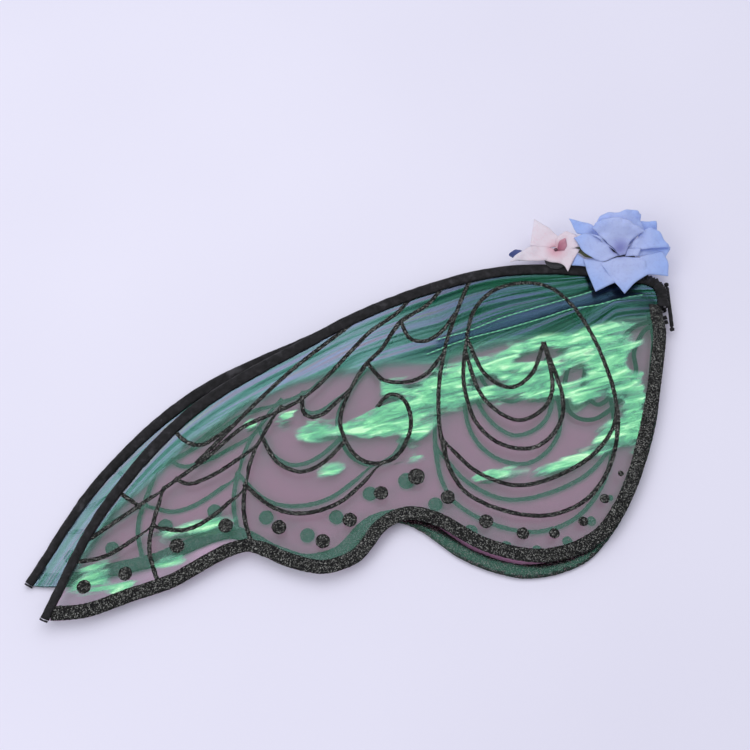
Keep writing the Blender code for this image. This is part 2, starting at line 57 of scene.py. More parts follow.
FILM_SPACING = 2.6  # between the film's points
PRINT_SPACING = 1.15
EDGE_STEP = 0.8  # between points along a sleeve, a crease or the print's outline
RIDGE_STEP = 1.0  # between the film's points along a crease
GATHER_STEP = 0.3
STRAP_STEP = 1.2
CAD_FILM_HALF = 0.15
FILM_HALF = 0.05  # half the film's thickness
PRINT_GAP = 0.03  # between the film and the glitter on it
PRINT_LEAST = 0.06  # the glitter's thickness at its edge
PRINT_DOME = 0.7  # how far in from its edge the glitter reaches its full thickness
SEAM_FREE = 14.0  # the film is held flat by the sleeve for this far
SLEEVE_HALF = 4.0  # half the sleeve's width
SLEEVE_MOUTH = 0.30  # half the angle that the sleeve's ring is open towards the film
SLEEVE_CRUMPLE = 0.34  # how deep the cloth crumples
GATHER_CRUMPLE = 0.30
GATHER_SHIFT = -1.0  # from the wire to the gather's middle line
CLOTH = 0.35  # a petal's thickness
SHARP = math.radians(48)  # an outline's corners over this stay sharp

# Two creases that run out of the root corner, and the pucker where they meet: plan points
CREASES = (
    ((-164, -19), (-142, -12), (-121, -3), (-100, 4), (-78, 11), (-57, 18), (-41, 25)),
    ((-172, -30), (-142, -18), (-121, -12), (-86, -1), (-72, 4), (-50, 8), (-36, 12), (-22, 15)),
)
PUCKER = (-31, 5, 19, 9)  # x, y, reach along x, reach along y
# Under the sleeve the film is painted with a dark, streaky reflection, as of the dark side of the room, down
# to this line
DARK_EDGE = (
    (-411, -206), (-375, -142), (-330, -94), (-290, -64), (-258, -50), (-200, -38), (-164, -36), (-143, -27),
    (-108, -20), (-80, -16), (-59, -10), (-45, -6), (-8, -2),
)
# How wide the painted reflection's streaks fan out below the sleeve: (x, width)
STREAK_FAN = ((-411, 22), (-258, 40), (-164, 50), (-100, 34), (-41, 15), (0, 13))
# Painted reflection: patches where the film is tinted mint and mirrors more, as if slack film caught the
# light: x, y, half length, half width, direction in degrees, strength
SHEEN = (
    (-116, -42, 46, 19, 14, 1.3), (-66, -22, 32, 13, 14, 1.35), (-62, -62, 24, 13, 30, 1.15),
    (-56, -34, 24, 13, 14, 1.1), (-88, -56, 24, 8, 12, 0.8), (-182, -88, 12, 5, 20, 0.8),
    (-291, -81, 7, 5, 30, 1.2), (-198, -54, 9, 6, 30, 0.9),
    (-34, -66, 38, 8, 83, 1.2), (-70, -103, 36, 6, 27, 1.05), (-50, -84, 13, 8, 35, 1.0),
    (-136, -117, 34, 5, 9, 1.0), (-163, -58, 26, 15, 18, 0.95), (-206, -80, 28, 12, 18, 1.0),
    (-246, -84, 20, 9, 24, 0.9), (-270, -78, 10, 8, 20, 0.7), (-236, -112, 14, 7, 15, 0.8),
    (-326, -153, 34, 7, 12, 0.85), (-335, -174, 15, 6, 12, 1.0), (-386, -180, 18, 8, 20, 0.9),
    (-182, -104, 16, 7, 15, 0.75), (-378, -190, 26, 5, 10, 0.8),
)
# Gaps in the painted reflection patches, which stay mauve
SHEEN_GAPS = (
    (-98, -31, 19, 6.5, 14, 1.0), (-104, -68, 20, 5, 14, 0.7), (-134, -50, 16, 5, 15, 0.75),
    (-74, -45, 14, 5, 22, 0.9), (-60, -68, 12, 6, 30, 0.9), (-31, -38, 5, 12, -10, 0.9),
)

# Petals of the pressed flowers: (x, y) from the flower's middle, and height. The rose's are named
# for the ring they belong to.
ROSE_PETALS = {
    "outer_petal_1": ((-25, -5, 10), (-13, -5, 10.5), (-1, -22, 9), (-18, -30, 8), (-22, -17, 8.5)),
    "outer_petal_2": ((-34, 24, 17), (-18, 18, 17.5), (-10, 10, 14), (-17, 10, 13.5), (-29, 13, 15)),
    "outer_petal_3": ((12, 2, 12), (35, 4, 12), (37, 2, 11.5), (33, -4, 11), (26, -3, 11), (12, -4, 11.5)),
    "outer_petal_4": (
        (-12, 8, 11), (-16, 20, 9), (-8, 29, 8.5), (4, 31, 8.5), (14, 28, 8.5), (18, 18, 9.5), (10, 8, 11),
    ),
    "outer_petal_5": ((11, 14, 13), (17, 22, 16.5), (28, 22, 16.5), (29, 14, 13), (20, 10, 12)),
    "outer_petal_6": (
        (-14, -9, 11.5), (1, -5, 13), (18, -6, 13), (19, -18, 10), (11, -23, 9.5), (2, -32, 8.5),
        (-4, -24, 9.5),
    ),
    "middle_petal_3": ((14, -5, 13), (31, 0, 12.4), (34, -7, 11), (34, -18, 9), (18, -18, 10.6)),
    "middle_petal_1": (
        (-31, 10, 14), (-22, 12, 16), (-15, 10, 16.5), (-9, 4, 16), (-2, -3, 14), (1, -4, 13),
        (-13, -8, 12), (-24, -2, 13),
    ),
    "middle_petal_2": (
        (5, 1, 13), (13, 8, 17), (18, 13, 19), (22, 15, 19), (27, 14, 18), (34, 5, 15), (37, 2, 13),
        (15, 0, 15),
    ),
    "middle_petal_4": (
        (-17, 16, 18), (-12, 23, 23), (-7, 24, 25), (0, 24, 25), (4, 26, 25), (13, 26, 24),
        (16, 24, 22), (16, 20, 19), (19, 14, 17), (5, 4, 12), (-6, 5, 12),
    ),
    "inner_petal_1": ((-20, 11, 18), (-13, 8, 19), (-6, 1, 16), (0, -4, 13.4), (-10, 3, 16)),
    "inner_petal_2": ((5, 1, 14.5), (15, 0, 15.5), (13, -5, 14), (4, -5, 13.5)),
    "inner_petal_3": (
        (-19, 13, 21), (-17, 16, 24), (-10, 18, 26), (-2, 19, 26.5), (5, 17, 26), (11, 14, 24),
        (18, 11, 21), (8, 5, 18), (4, -4, 14.6), (0, -5, 14.6), (-6, 1, 17), (-13, 7, 19.6),
    ),
    "under_petal": ((-33, -9, 8), (-29, 0, 9), (-23, -5, 9), (-23, -10, 8)),
}
BLOSSOM_PETALS = (
    ((-14, 24, 13), (-6, 18, 13), (3, 10, 11), (1, 3, 9.5), (-7, 2, 9.5), (-18, 3, 11)),
    ((2, 10, 12), (8, 14, 13), (15, 11, 13), (17, 2, 12), (8, 0, 10.2), (0, 0, 9.7)),
    (
        (0, 2, 10), (8, 3, 10.8), (17, 0, 11), (12, -8, 9), (8, -16, 7.9), (5, -11, 8.6), (-4, -9, 9),
        (-9, -7, 9),
    ),
    (
        (-33, -9, 9), (-28, -4, 11), (-17, 2, 12), (-7, 3, 10.4), (1, 0, 9.9), (-5, -7, 9.4), (-11, -8, 9.2),
        (-21, -8, 9),
    ),
)
BLOSSOM_INNER_PETAL = ((1, -1, 10.5), (3, 6, 13), (7, 8, 13.5), (8, 3, 12), (6, -1, 11))
# Petal cloths: colour near the flower's middle, at the tip, and at the petal's root and in mottled patches
PETAL_COLOURS = {
    "blue": ((0.57, 0.66, 1.0), (0.42, 0.58, 1.0), (0.28, 0.30, 0.68)),
    "dark_blue": ((0.10, 0.13, 0.36), (0.07, 0.10, 0.30), (0.03, 0.03, 0.12)),
    "pink": ((0.90, 0.80, 0.88), (0.90, 0.87, 0.96), (0.84, 0.48, 0.58)),
    "deep_pink": ((0.72, 0.36, 0.46), (0.78, 0.48, 0.56), (0.40, 0.10, 0.18)),
    "green": ((0.15, 0.17, 0.07), (0.20, 0.22, 0.10), (0.05, 0.06, 0.02)),
}

FLOOR_REACH = 6000
FLOOR_DROP = 0.4  # the floor lies this far below the lowest face
# Name, place in metres, width and height in metres, power in watts
LIGHTS = (
    ("key", (-0.23, 0.52, 1.35), 1.9, 1.3, 9.7),
    ("fill", (-1.1, -0.6, 1.0), 0.8, 0.8, 5.2),
)
LIT_POINT = Vector((-0.2, -0.06, 0.0))
CAMERA_LENS = 50.4
CAMERA_AIM = (-0.2079, -0.0419)  # the plan point in the middle of the picture, in metres
CAMERA_HEIGHT = 0.659
CAMERA_TILT = math.radians(66)  # how steeply it looks down


def eased(value):
    value = min(max(value, 0.0), 1.0)
    return value * value * (3 - 2 * value)


def rough(x, y, z):
    return noise.noise(Vector((x, y, z)))


def squared(value, power=0.8):
    """A sine or cosine pushed outwards, for a section between round and square."""
    return math.copysign(abs(value) ** power, value)


def across_of(along):
    """The direction to the left of a plan direction."""
    return Vector((-along.y, along.x))


# --- reading the frame -------------------------------------------------------------------------


def plan_area(ring):
    return sum(a[0] * b[1] - b[0] * a[1] for a, b in zip(ring, ring[1:] + ring[:1])) / 2


def flat_outlines(node, z):
    """Closed plan outlines of a CAD node's flat face at height z, with the face on their left."""
    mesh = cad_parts[node].data
    mesh.calc_loop_triangles()
    places = [tuple(round(value / MM, 3) for value in vertex.co) for vertex in mesh.vertices]
    sides = set()
    for triangle in mesh.loop_triangles:
        corners = [places[i] for i in triangle.vertices]
        if all(abs(corner[2] - z) < 0.02 for corner in corners):
            plan = [corner[:2] for corner in corners]
            plan = plan if plan_area(plan) > 0 else plan[::-1]
            sides |= set(zip(plan, plan[1:] + plan[:1]))
    following = {}
    for start, end in sorted(sides):
        if (end, start) not in sides:
            following.setdefault(start, []).append(end)
    rings = []
    while following:
        ring = [min(following)]
        while ring[-1] in following:
            ends = following[ring[-1]]
            ring.append(ends.pop())
            if not ends:
                del following[ring[-2]]
            if ring[-1] == ring[0]:
                break
        rings.append(ring[:-1])
    return rings


def node_range(node):
    low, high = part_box(node)
    return low / MM, high / MM


def node_middle(node):
    low, high = node_range(node)
    return (low + high) / 2


def node_outs(node, side):
    """How far out a wing's node starts and ends."""
    low, high = node_range(node)
    return sorted((side * low.z, side * high.z))


def strip_middle(ring):
    """Middle line of a long strip's outline, from its -X end, with the strip's two sides paired."""
    points = [Vector(point) for point in ring]
    count = len(points)
    middle = sum(points, Vector((0, 0))) / count
    far = max(range(count), key=lambda i: (points[i] - middle).length)
    neighbours = ((far + 1) % count, far - 1)
    other = min(neighbours, key=lambda i: (points[i] - points[far]).length)
    first = far if other == far - 1 else other
    turned = points[first:] + points[:first]
    half = count // 2
    line = [(a + b) / 2 for a, b in zip(turned[:half], turned[::-1])]
    return line if line[0].x < line[-1].x else line[::-1]


# --- lines and outlines ------------------------------------------------------------------------


def curved(before, start, end, after, steps):
    """Points from start up to, not including, end on a smooth curve through four points."""
    span = (end - start).length

    def direction(a, b, c):
        first, second = b - a, c - b
        if first.length < 1e-6 or second.length < 1e-6:
            return (c - a).normalized()
        return (first * (second.length / first.length) + second * (first.length / second.length)).normalized()

    leave = direction(before, start, end) * span
    arrive = direction(start, end, after) * span
    places = []
    for step in range(steps):
        t = step / steps
        places.append(
            start * (2 * t ** 3 - 3 * t * t + 1) + leave * (t ** 3 - 2 * t * t + t)
            + end * (3 * t * t - 2 * t ** 3) + arrive * (t ** 3 - t * t)
        )
    return places


def smooth_ring(ring, spacing):
    """A closed outline resampled as a smooth curve that keeps its sharp corners."""
    points = [Vector(point) for point in ring]
    points = [point for point, last in zip(points, points[-1:] + points) if (point - last).length > 0.3]
    count = len(points)
    corner = []
    for i in range(count):
        into, out_of = points[i] - points[i - 1], points[(i + 1) % count] - points[i]
        corner.append(into.angle(out_of, 0.0) > SHARP)
    line = []
    for i in range(count):
        start, end = points[i], points[(i + 1) % count]
        before = start - (end - start) if corner[i] else points[i - 1]
        after = end + (end - start) if corner[(i + 1) % count] else points[(i + 2) % count]
        steps = max(1, round((end - start).length / spacing))
        line += curved(before, start, end, after, steps)
    return line


def smooth_line(points, spacing):
    """An open line resampled at an even spacing on a smooth curve through its points."""
    knots = [Vector(point) for point in points]
    knots = [2 * knots[0] - knots[1], *knots, 2 * knots[-1] - knots[-2]]
    dense = []
    for before, start, end, after in zip(knots, knots[1:], knots[2:], knots[3:]):
        dense += curved(before, start, end, after, max(2, math.ceil((end - start).length)))
    dense.append(knots[-2])
    lengths = np.concatenate([[0], np.cumsum([(b - a).length for a, b in zip(dense, dense[1:])])])
    places = np.linspace(0, lengths[-1], max(2, round(lengths[-1] / spacing) + 1))
    axes = [np.interp(places, lengths, [point[axis] for point in dense]) for axis in (0, 1)]
    return [Vector(point) for point in zip(*axes)]


def normals_of(line):
    normals = []
    for i in range(len(line)):
        normals.append(across_of((line[min(i + 1, len(line) - 1)] - line[max(i - 1, 0)]).normalized()))
    return normals


def shifted(line, across):
    return [point + normal * across for point, normal in zip(line, normals_of(line))]


def nearest_on(line, spot):
    """The point of a line next to a plan spot, with its directions along and across."""
    at = min(range(1, len(line) - 1), key=lambda i: (line[i] - spot).length)
    along = (line[at + 1] - line[at - 1]).normalized()
    return line[at], along, across_of(along)


def tree_of(points):
    tree = kdtree.KDTree(len(points))
    for i, point in enumerate(points):
        tree.insert((point[0], point[1], 0), i)
    tree.balance()
    return tree


def grid_inside(rings, spacing, reach=math.inf):
    """A jittered triangular grid over the outlines, clear of them and within reach of one."""
    corners = np.array([point[:] for ring in rings for point in ring])
    low, high = corners.min(axis=0), corners.max(axis=0)
    edge = tree_of(corners)
    row_step = spacing * math.sqrt(3) / 2
    points = []
    for row in range(int((high[1] - low[1]) / row_step) + 1):
        for column in range(int((high[0] - low[0]) / spacing) + 1):
            x = low[0] + (column + 0.5 * (row % 2)) * spacing
            y = low[1] + row * row_step
            jitter = noise.noise_vector(Vector((x, y, 0.5))) * (0.22 * spacing)
            x, y = x + jitter.x, y + jitter.y
            gap = edge.find((x, y, 0))[2]
            if 0.55 * spacing < gap < reach:
                points.append(Vector((x, y)))
    return points


def triangulated(rings, inner):
    """Plan points and triangles over outlines with holes: what an odd number of outlines holds."""
    rings = [ring if plan_area([p[:] for p in ring]) > 0 else ring[::-1] for ring in rings]
    firsts = np.cumsum([0] + [len(ring) for ring in rings])
    indices = [list(range(first, first + len(ring))) for first, ring in zip(firsts, rings)]
    points = [point for ring in rings for point in ring] + inner
    found, _, triangles, _, _, owners = geometry.delaunay_2d_cdt(points, [], indices, 1, 0.0005)
    kept = [triangle for triangle, own in zip(triangles, owners) if len(own) % 2]
    used = sorted({i for triangle in kept for i in triangle})
    place = {old: new for new, old in enumerate(used)}
    return [found[i] for i in used], [tuple(place[i] for i in triangle) for triangle in kept]


# --- pieces ------------------------------------------------------------------------------------


def add_piece(name, shape, slot, body, node=None):
    """A mesh object from places in millimetres and faces, riding on a body and standing for a CAD node."""
    places, faces = shape
    mesh = bpy.data.meshes.new(name)
    mesh.from_pydata([[value * MM for value in place] for place in places], [], faces)
    mesh.validate()
    mesh.materials.append(FINISHES[slot])
    mesh.shade_smooth()
    piece = bpy.data.objects.new(name, mesh)
    bpy.context.scene.collection.objects.link(piece)
    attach(piece, body)
    if node:
        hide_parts(node)
    return piece


def turned_for(side, faces):
    """Faces that point outwards on the left wing, turned over for the right one."""
    return faces if side == LEFT else [face[::-1] for face in faces]


def shell(low, high, faces, side=LEFT):
    """Places and faces of a solid between two layers of points that share their faces."""
    count = len(low)
    built, edges = [], set()
    for face in faces:
        built += [tuple(face[::-1]), tuple(i + count for i in face)]
        edges |= set(zip(face, face[1:] + face[:1]))
    built += [(a, b, b + count, a + count) for a, b in sorted(edges) if (b, a) not in edges]
    return [*low, *high], turned_for(side, built)


def add_values(piece, name, values):
    attribute = piece.data.attributes.new(name, "FLOAT", "POINT")
    attribute.data.foreach_set("value", np.array(values, np.float32))


def add_vectors(piece, name, vectors):
    attribute = piece.data.attributes.new(name, "FLOAT_VECTOR", "POINT")
    attribute.data.foreach_set("vector", np.array(vectors, np.float32).ravel())


def tube_faces(size, count):
    """Faces of a closed tube of count rings of size points, that turn left about its direction."""
    faces = []
    for first in range(0, size * (count - 1), size):
        for i in range(size):
            a, b = first + i, first + (i + 1) % size
            faces.append((a, b, b + size, a + size))
    return [*faces, tuple(range(size))[::-1], tuple(range(size * (count - 1), size * count))]


def grid_faces(rows, columns):
    """Faces of a grid of points, row after row."""
    firsts = [row * (columns + 1) + column for row in range(rows) for column in range(columns)]
    return [(a, a + columns + 1, a + columns + 2, a + 1) for a in firsts]


def sweep(line, sections, side=LEFT):
    """Places and faces of a tube whose section at each point is an outline of (across, out)."""
    places = []
    for point, normal, section in zip(line, normals_of(line), sections):
        for across, out in section:
            places.append((*(point + normal * across), side * out))
    return places, turned_for(-side, tube_faces(len(sections[0]), len(line)))


def sweep_vectors(line, size, spacing):
    """Length along the line and turn round the section, for each place of a sweep."""
    return [(i * spacing * MM, k / size, 0.0) for i in range(len(line)) for k in range(size)]


def joined(parts):
    """Several (places, faces) as one."""
    places, faces = [], []
    for more_places, more_faces in parts:
        count = len(places)
        places += more_places
        faces += [tuple(i + count for i in face) for face in more_faces]
    return places, faces


def thread_path(points, radius, sides=6):
    """A round thread along places in space, with closed ends."""
    points = [Vector(point) for point in points]
    places = []
    for i, point in enumerate(points):
        along = (points[min(i + 1, len(points) - 1)] - points[max(i - 1, 0)]).normalized()
        up = Vector((0, 0, 1)) if abs(along.z) < 0.9 else Vector((1, 0, 0))
        right = along.cross(up).normalized()
        up = right.cross(along)
        thin = 0.55 if i in (0, len(points) - 1) else 1.0
        for k in range(sides):
            turn = math.tau * k / sides
            places.append(point + (right * math.cos(turn) + up * math.sin(turn)) * radius * thin)
    return places, tube_faces(sides, len(points))


# --- materials ---------------------------------------------------------------------------------


class Shader:
    """A node material as it is put together."""

    def __init__(self, name):
        self.material = bpy.data.materials.new(name)
        self.material.use_nodes = True
        self.tree = self.material.node_tree
        self.tree.nodes.clear()
        self.output = self.tree.nodes.new("ShaderNodeOutputMaterial")

    def node(self, kind, inputs=None, **settings):
        made = self.tree.nodes.new("ShaderNode" + kind)
        for key, value in settings.items():
            setattr(made, key, value)
        for key, value in (inputs or {}).items():
            if isinstance(value, bpy.types.NodeSocket):
                self.tree.links.new(value, made.inputs[key])
            else:
                made.inputs[key].default_value = value
        return made

    def place(self, scale, attribute=None, turn=0.0):
        """Object coordinates, or a vector attribute, turned by degrees and scaled along each axis."""
        if attribute:
            source = self.node("Attribute", attribute_name=attribute).outputs["Vector"]
        else:
            source = self.node("TexCoord").outputs["Object"]
        scale = scale if isinstance(scale, tuple) else (scale, scale, scale)
        if turn:
            inputs = {"Vector": source, "Rotation": (0, 0, math.radians(turn))}
            source = self.node("Mapping", inputs).outputs["Vector"]
        return self.node("Mapping", {"Vector": source, "Scale": scale}).outputs["Vector"]

    def value(self, attribute):
        return self.node("Attribute", attribute_name=attribute).outputs["Fac"]

    def noise(self, vector, detail=2.0, roughness=0.5, distortion=0.0):
        inputs = {
            "Vector": vector, "Scale": 1.0, "Detail": detail, "Roughness": roughness,
            "Distortion": distortion,
        }
        return self.node("TexNoise", inputs).outputs["Fac"]

    def cells(self, vector):
        return self.node("TexVoronoi", {"Vector": vector, "Scale": 1.0}).outputs["Color"]

    def waves(self, vector, distortion=0.0):
        inputs = {"Vector": vector, "Scale": 1.0, "Distortion": distortion, "Detail": 1.0}
        return self.node("TexWave", inputs).outputs["Fac"]

    def maths(self, operation, first, second):
        return self.node("Math", {0: first, 1: second}, operation=operation).outputs[0]

    def times(self, first, second):
        return self.maths("MULTIPLY", first, second)

    def weave(self, scale):
        """Threads crossing at right angles."""
        return self.times(self.waves(self.place(scale)), self.waves(self.place(scale, turn=90)))

    def step(self, value, low, high):
        """0 below low, 1 above high and a smooth slope between."""
        inputs = {"Value": value, "From Min": low, "From Max": high}
        return self.node("MapRange", inputs, interpolation_type="SMOOTHSTEP").outputs[0]

    def ramp(self, value, *stops):
        made = self.node("ValToRGB", {"Fac": value})
        elements = made.color_ramp.elements
        while len(elements) < len(stops):
            elements.new(0.5)
        for element, (position, colour) in zip(elements, stops):
            element.position = position
            element.color = (*colour, 1.0)
        return made.outputs["Color"]

    def mix(self, factor, first, second):
        made = self.node("Mix", data_type="RGBA")
        for index, value in ((0, factor), (6, first), (7, second)):
            if isinstance(value, bpy.types.NodeSocket):
                self.tree.links.new(value, made.inputs[index])
            else:
                made.inputs[index].default_value = (*value, 1.0) if index else value
        return made.outputs[2]

    def bump(self, height, distance, strength=1.0, normal=None):
        inputs = {"Height": height, "Distance": distance * MM, "Strength": strength}
        if normal:
            inputs["Normal"] = normal
        return self.node("Bump", inputs).outputs["Normal"]

    def blend(self, factor, first, second):
        """A mix of two shaders."""
        made = self.node("MixShader", {0: factor})
        self.tree.links.new(first, made.inputs[1])
        self.tree.links.new(second, made.inputs[2])
        return made.outputs[0]

    def principled(self, **inputs):
        named = {key.replace("_", " "): value for key, value in inputs.items()}
        return self.node("BsdfPrincipled", named).outputs[0]

    def finished(self, surface):
        self.tree.links.new(surface, self.output.inputs["Surface"])
        return self.material


def film_material():
    """Iridescent film: lets a mauve light through and mirrors a green one. Painted reflections lay mint
    patches, dark streaks under the sleeve and a dark band between the creases, and painted highlights lie
    along the creases.
    """
    s = Shader("iridescent_film")
    edge, crease, painted_dark_band = s.value("edge_zone"), s.value("crease"), s.value("painted_dark_band")
    # Painted reflection: this noise and the sheen values pick where the mint patches lie
    reflection_noise = s.noise(s.place((22, 74, 30), turn=-17), 4.0, 0.55, 0.9)
    patch = s.maths("ADD", s.times(reflection_noise, 1.7), s.times(s.value("sheen"), 0.8))
    wisps = s.noise(s.place((38, 190, 60), turn=-14), 4.0, 0.6, 0.8)
    mint = s.times(s.step(patch, 1.28, 1.54), s.step(wisps, 0.27, 0.52))
    comb = s.noise(s.place((900, 40, 60), turn=-32), 1.0, 0.5)
    broad = s.noise(s.place((7, 170, 1), "streak_place"), 2.0, 0.5, 0.25)
    fine = s.noise(s.place((10, 620, 1), "streak_place"), 2.0, 0.5)
    streak = s.maths("ADD", s.times(broad, 0.68), s.times(fine, 0.32))
    # Painted reflection: dark green, teal and blue streaks under the sleeve
    edge_colour = s.ramp(
        streak, (0.36, (0.03, 0.18, 0.13)), (0.45, (0.13, 0.40, 0.33)), (0.51, (0.21, 0.35, 0.39)),
        (0.55, (0.27, 0.32, 0.50)), (0.60, (0.30, 0.27, 0.34)), (0.68, (0.28, 0.56, 0.44)),
    )
    # Painted shade: the same streaks darker towards the root
    root_colour = s.ramp(
        streak, (0.36, (0.006, 0.07, 0.035)), (0.46, (0.02, 0.14, 0.075)), (0.53, (0.06, 0.15, 0.15)),
        (0.58, (0.11, 0.15, 0.28)), (0.63, (0.08, 0.11, 0.12)), (0.70, (0.07, 0.26, 0.15)),
    )
    # Painted reflection: the mint patches' colours, palest where they are brightest
    mint_colour = s.ramp(
        wisps, (0.34, (0.07, 0.26, 0.16)), (0.46, (0.13, 0.46, 0.25)), (0.56, (0.24, 0.66, 0.36)),
        (0.66, (0.48, 0.84, 0.52)),
    )
    mirror_colour = s.mix(mint, (0.20, 0.60, 0.42), mint_colour)
    mirror_colour = s.mix(edge, mirror_colour, s.mix(s.value("root_shade"), edge_colour, root_colour))
    # Painted highlight: a light green along the creases, mirrored strongly
    mirror_colour = s.mix(crease, mirror_colour, (0.22, 0.62, 0.36))
    # Painted reflection: a dark blue band between the creases, as of the dark side of the room
    mirror_colour = s.mix(painted_dark_band, mirror_colour, (0.045, 0.085, 0.16))
    mint_share = s.times(mint, s.maths("ADD", 0.40, s.times(comb, 0.3)))
    edge_share = s.maths("ADD", 0.20, s.times(s.step(streak, 0.42, 0.55), 0.24))
    share = s.node("Mix", {0: edge, 2: s.maths("ADD", 0.07, mint_share), 3: edge_share}).outputs[0]
    share = s.maths("MAXIMUM", share, s.times(painted_dark_band, 0.45))
    share = s.maths("MAXIMUM", share, s.times(crease, 0.8))
    normal = s.bump(s.noise(s.place((60, 170, 80), turn=-17), 3.0, 0.55), 0.5, 0.5)
    mirror = s.node("BsdfGlossy", {"Color": mirror_colour, "Roughness": 0.24, "Normal": normal})
    tint = s.mix(edge, (0.950, 0.806, 0.884), (0.86, 0.88, 0.895))
    clear = s.node("BsdfTransparent", {"Color": tint})
    return s.finished(s.blend(share, clear.outputs[0], mirror.outputs[0]))


def glitter_material():
    """Black glitter glue: dark grains, a few of them painted lighter as glints, and smoother and partly metal
    so they catch the light too.
    """
    s = Shader("black_glitter")
    grains = s.cells(s.place(2100.0))
    grain_value = s.node("SeparateColor", {"Color": grains})
    spark = s.step(grain_value.outputs[0], 0.76, 0.97)
    shade = s.ramp(
        grain_value.outputs[1], (0.2, (0.003, 0.003, 0.004)), (0.75, (0.009, 0.009, 0.010)),
        (1.0, (0.035, 0.037, 0.030)),
    )
    # Painted glints: the spark grains get a lighter colour
    colour = s.mix(spark, shade, (0.235, 0.238, 0.228))
    lumps = s.noise(s.place(900.0), 3.0, 0.6)
    normal = s.bump(lumps, 0.25, 0.9, s.bump(grain_value.outputs[2], 0.10, 0.8))
    roughness = s.mix(spark, (0.62, 0.62, 0.62), (0.25, 0.25, 0.25))
    glint = s.times(spark, 0.4)
    return s.finished(
        s.principled(
            Base_Color=colour, Roughness=roughness, Metallic=glint, Specular_IOR_Level=0.12, Normal=normal
        )
    )


def black_fabric_material():
    """Thin black cloth: a fine plain weave, crinkled, with painted highlights that turn the tops of its
    crinkles greyer.
    """
    s = Shader("black_cloth")
    folds = s.noise(s.place(240.0), 4.0, 0.62, 0.3)
    dust = s.noise(s.place(90.0), 3.0, 0.6)
    # Painted highlight: greyer where the crinkle noise, which also raises the bump, is high
    colour = s.ramp(
        folds, (0.35, (0.004, 0.004, 0.005)), (0.62, (0.016, 0.015, 0.018)), (0.8, (0.045, 0.043, 0.05))
    )
    colour = s.mix(s.step(dust, 0.55, 0.8), colour, (0.05, 0.048, 0.055))
    normal = s.bump(s.weave(2600.0), 0.12, 0.5, s.bump(folds, 0.9, 0.8))
    return s.finished(
        s.principled(
            Base_Color=colour, Roughness=0.72, Specular_IOR_Level=0.25, Sheen_Weight=0.06, Normal=normal
        )
    )


def thread_material():
    """Twisted thread: slanting plies and loose fuzz."""
    s = Shader("black_thread")
    twist = s.waves(s.place(2200.0, turn=35), 1.5)
    fuzz = s.noise(s.place(3000.0), 3.0, 0.7)
    light = (0.0484, 0.046, 0.0532)
    shade = s.mix(s.times(twist, 0.7), (0.016, 0.015, 0.018), light)
    shade = s.mix(s.step(fuzz, 0.6, 0.8), shade, light)
    normal = s.bump(twist, 0.2, 0.6)
    return s.finished(s.principled(Base_Color=shade, Roughness=0.78, Specular_IOR_Level=0.25, Normal=normal))


def elastic_material():
    """Black elastic: lengthways ribs crossed by fine weft."""
    s = Shader("black_elastic")
    ribs = s.waves(s.place((0, 40, 0), "sweep_place"))
    weft = s.waves(s.place((1500, 0, 0), "sweep_place"), 0.6)
    colour = s.mix(s.times(weft, 0.6), (0.006, 0.006, 0.007), (0.035, 0.033, 0.038))
    normal = s.bump(s.maths("ADD", weft, ribs), 0.15, 0.6)
    return s.finished(s.principled(Base_Color=colour, Roughness=0.7, Specular_IOR_Level=0.25, Normal=normal))


def steel_material():
    """Drawn spring wire: bright, with fine lengthways scratches and dull patches."""
    s = Shader("spring_wire")
    scratches = s.noise(s.place((700, 2600, 2600)), 3.0, 0.6)
    stain = s.noise(s.place(70.0), 2.0, 0.5)
    colour = s.ramp(stain, (0.4, (0.36, 0.35, 0.34)), (0.7, (0.56, 0.57, 0.59)))
    roughness = s.ramp(scratches, (0.3, (0.22,) * 3), (0.7, (0.45,) * 3))
    normal = s.bump(scratches, 0.05, 0.5)
    return s.finished(s.principled(Base_Color=colour, Metallic=1.0, Roughness=roughness, Normal=normal))


def vinyl_material():
    """Dipped vinyl end cap: soft black, a little dusty, with the dip's ripples."""
    s = Shader("dipped_vinyl")
    ripple = s.noise(s.place(420.0), 2.0, 0.5)
    dust = s.noise(s.place(2200.0), 3.0, 0.7)
    colour = s.ramp(dust, (0.45, (0.030, 0.030, 0.034)), (0.8, (0.11, 0.11, 0.12)))
    normal = s.bump(ripple, 0.3, 0.6)
    return s.finished(s.principled(Base_Color=colour, Roughness=0.42, Normal=normal))


def felt_material():
    """Pressed black felt: matted fibres with lint."""
    s = Shader("black_felt")
    fibres = s.noise(s.place((900, 2400, 1500)), 4.0, 0.75, 2.0)
    lint = s.noise(s.place(1600.0), 4.0, 0.8)
    colour = s.ramp(fibres, (0.35, (0.008, 0.008, 0.010)), (0.7, (0.045, 0.045, 0.055)))
    colour = s.mix(s.step(lint, 0.68, 0.78), colour, (0.14, 0.14, 0.16))
    normal = s.bump(fibres, 0.4, 0.9)
    return s.finished(s.principled(Base_Color=colour, Roughness=0.95, Sheen_Weight=0.5, Normal=normal))


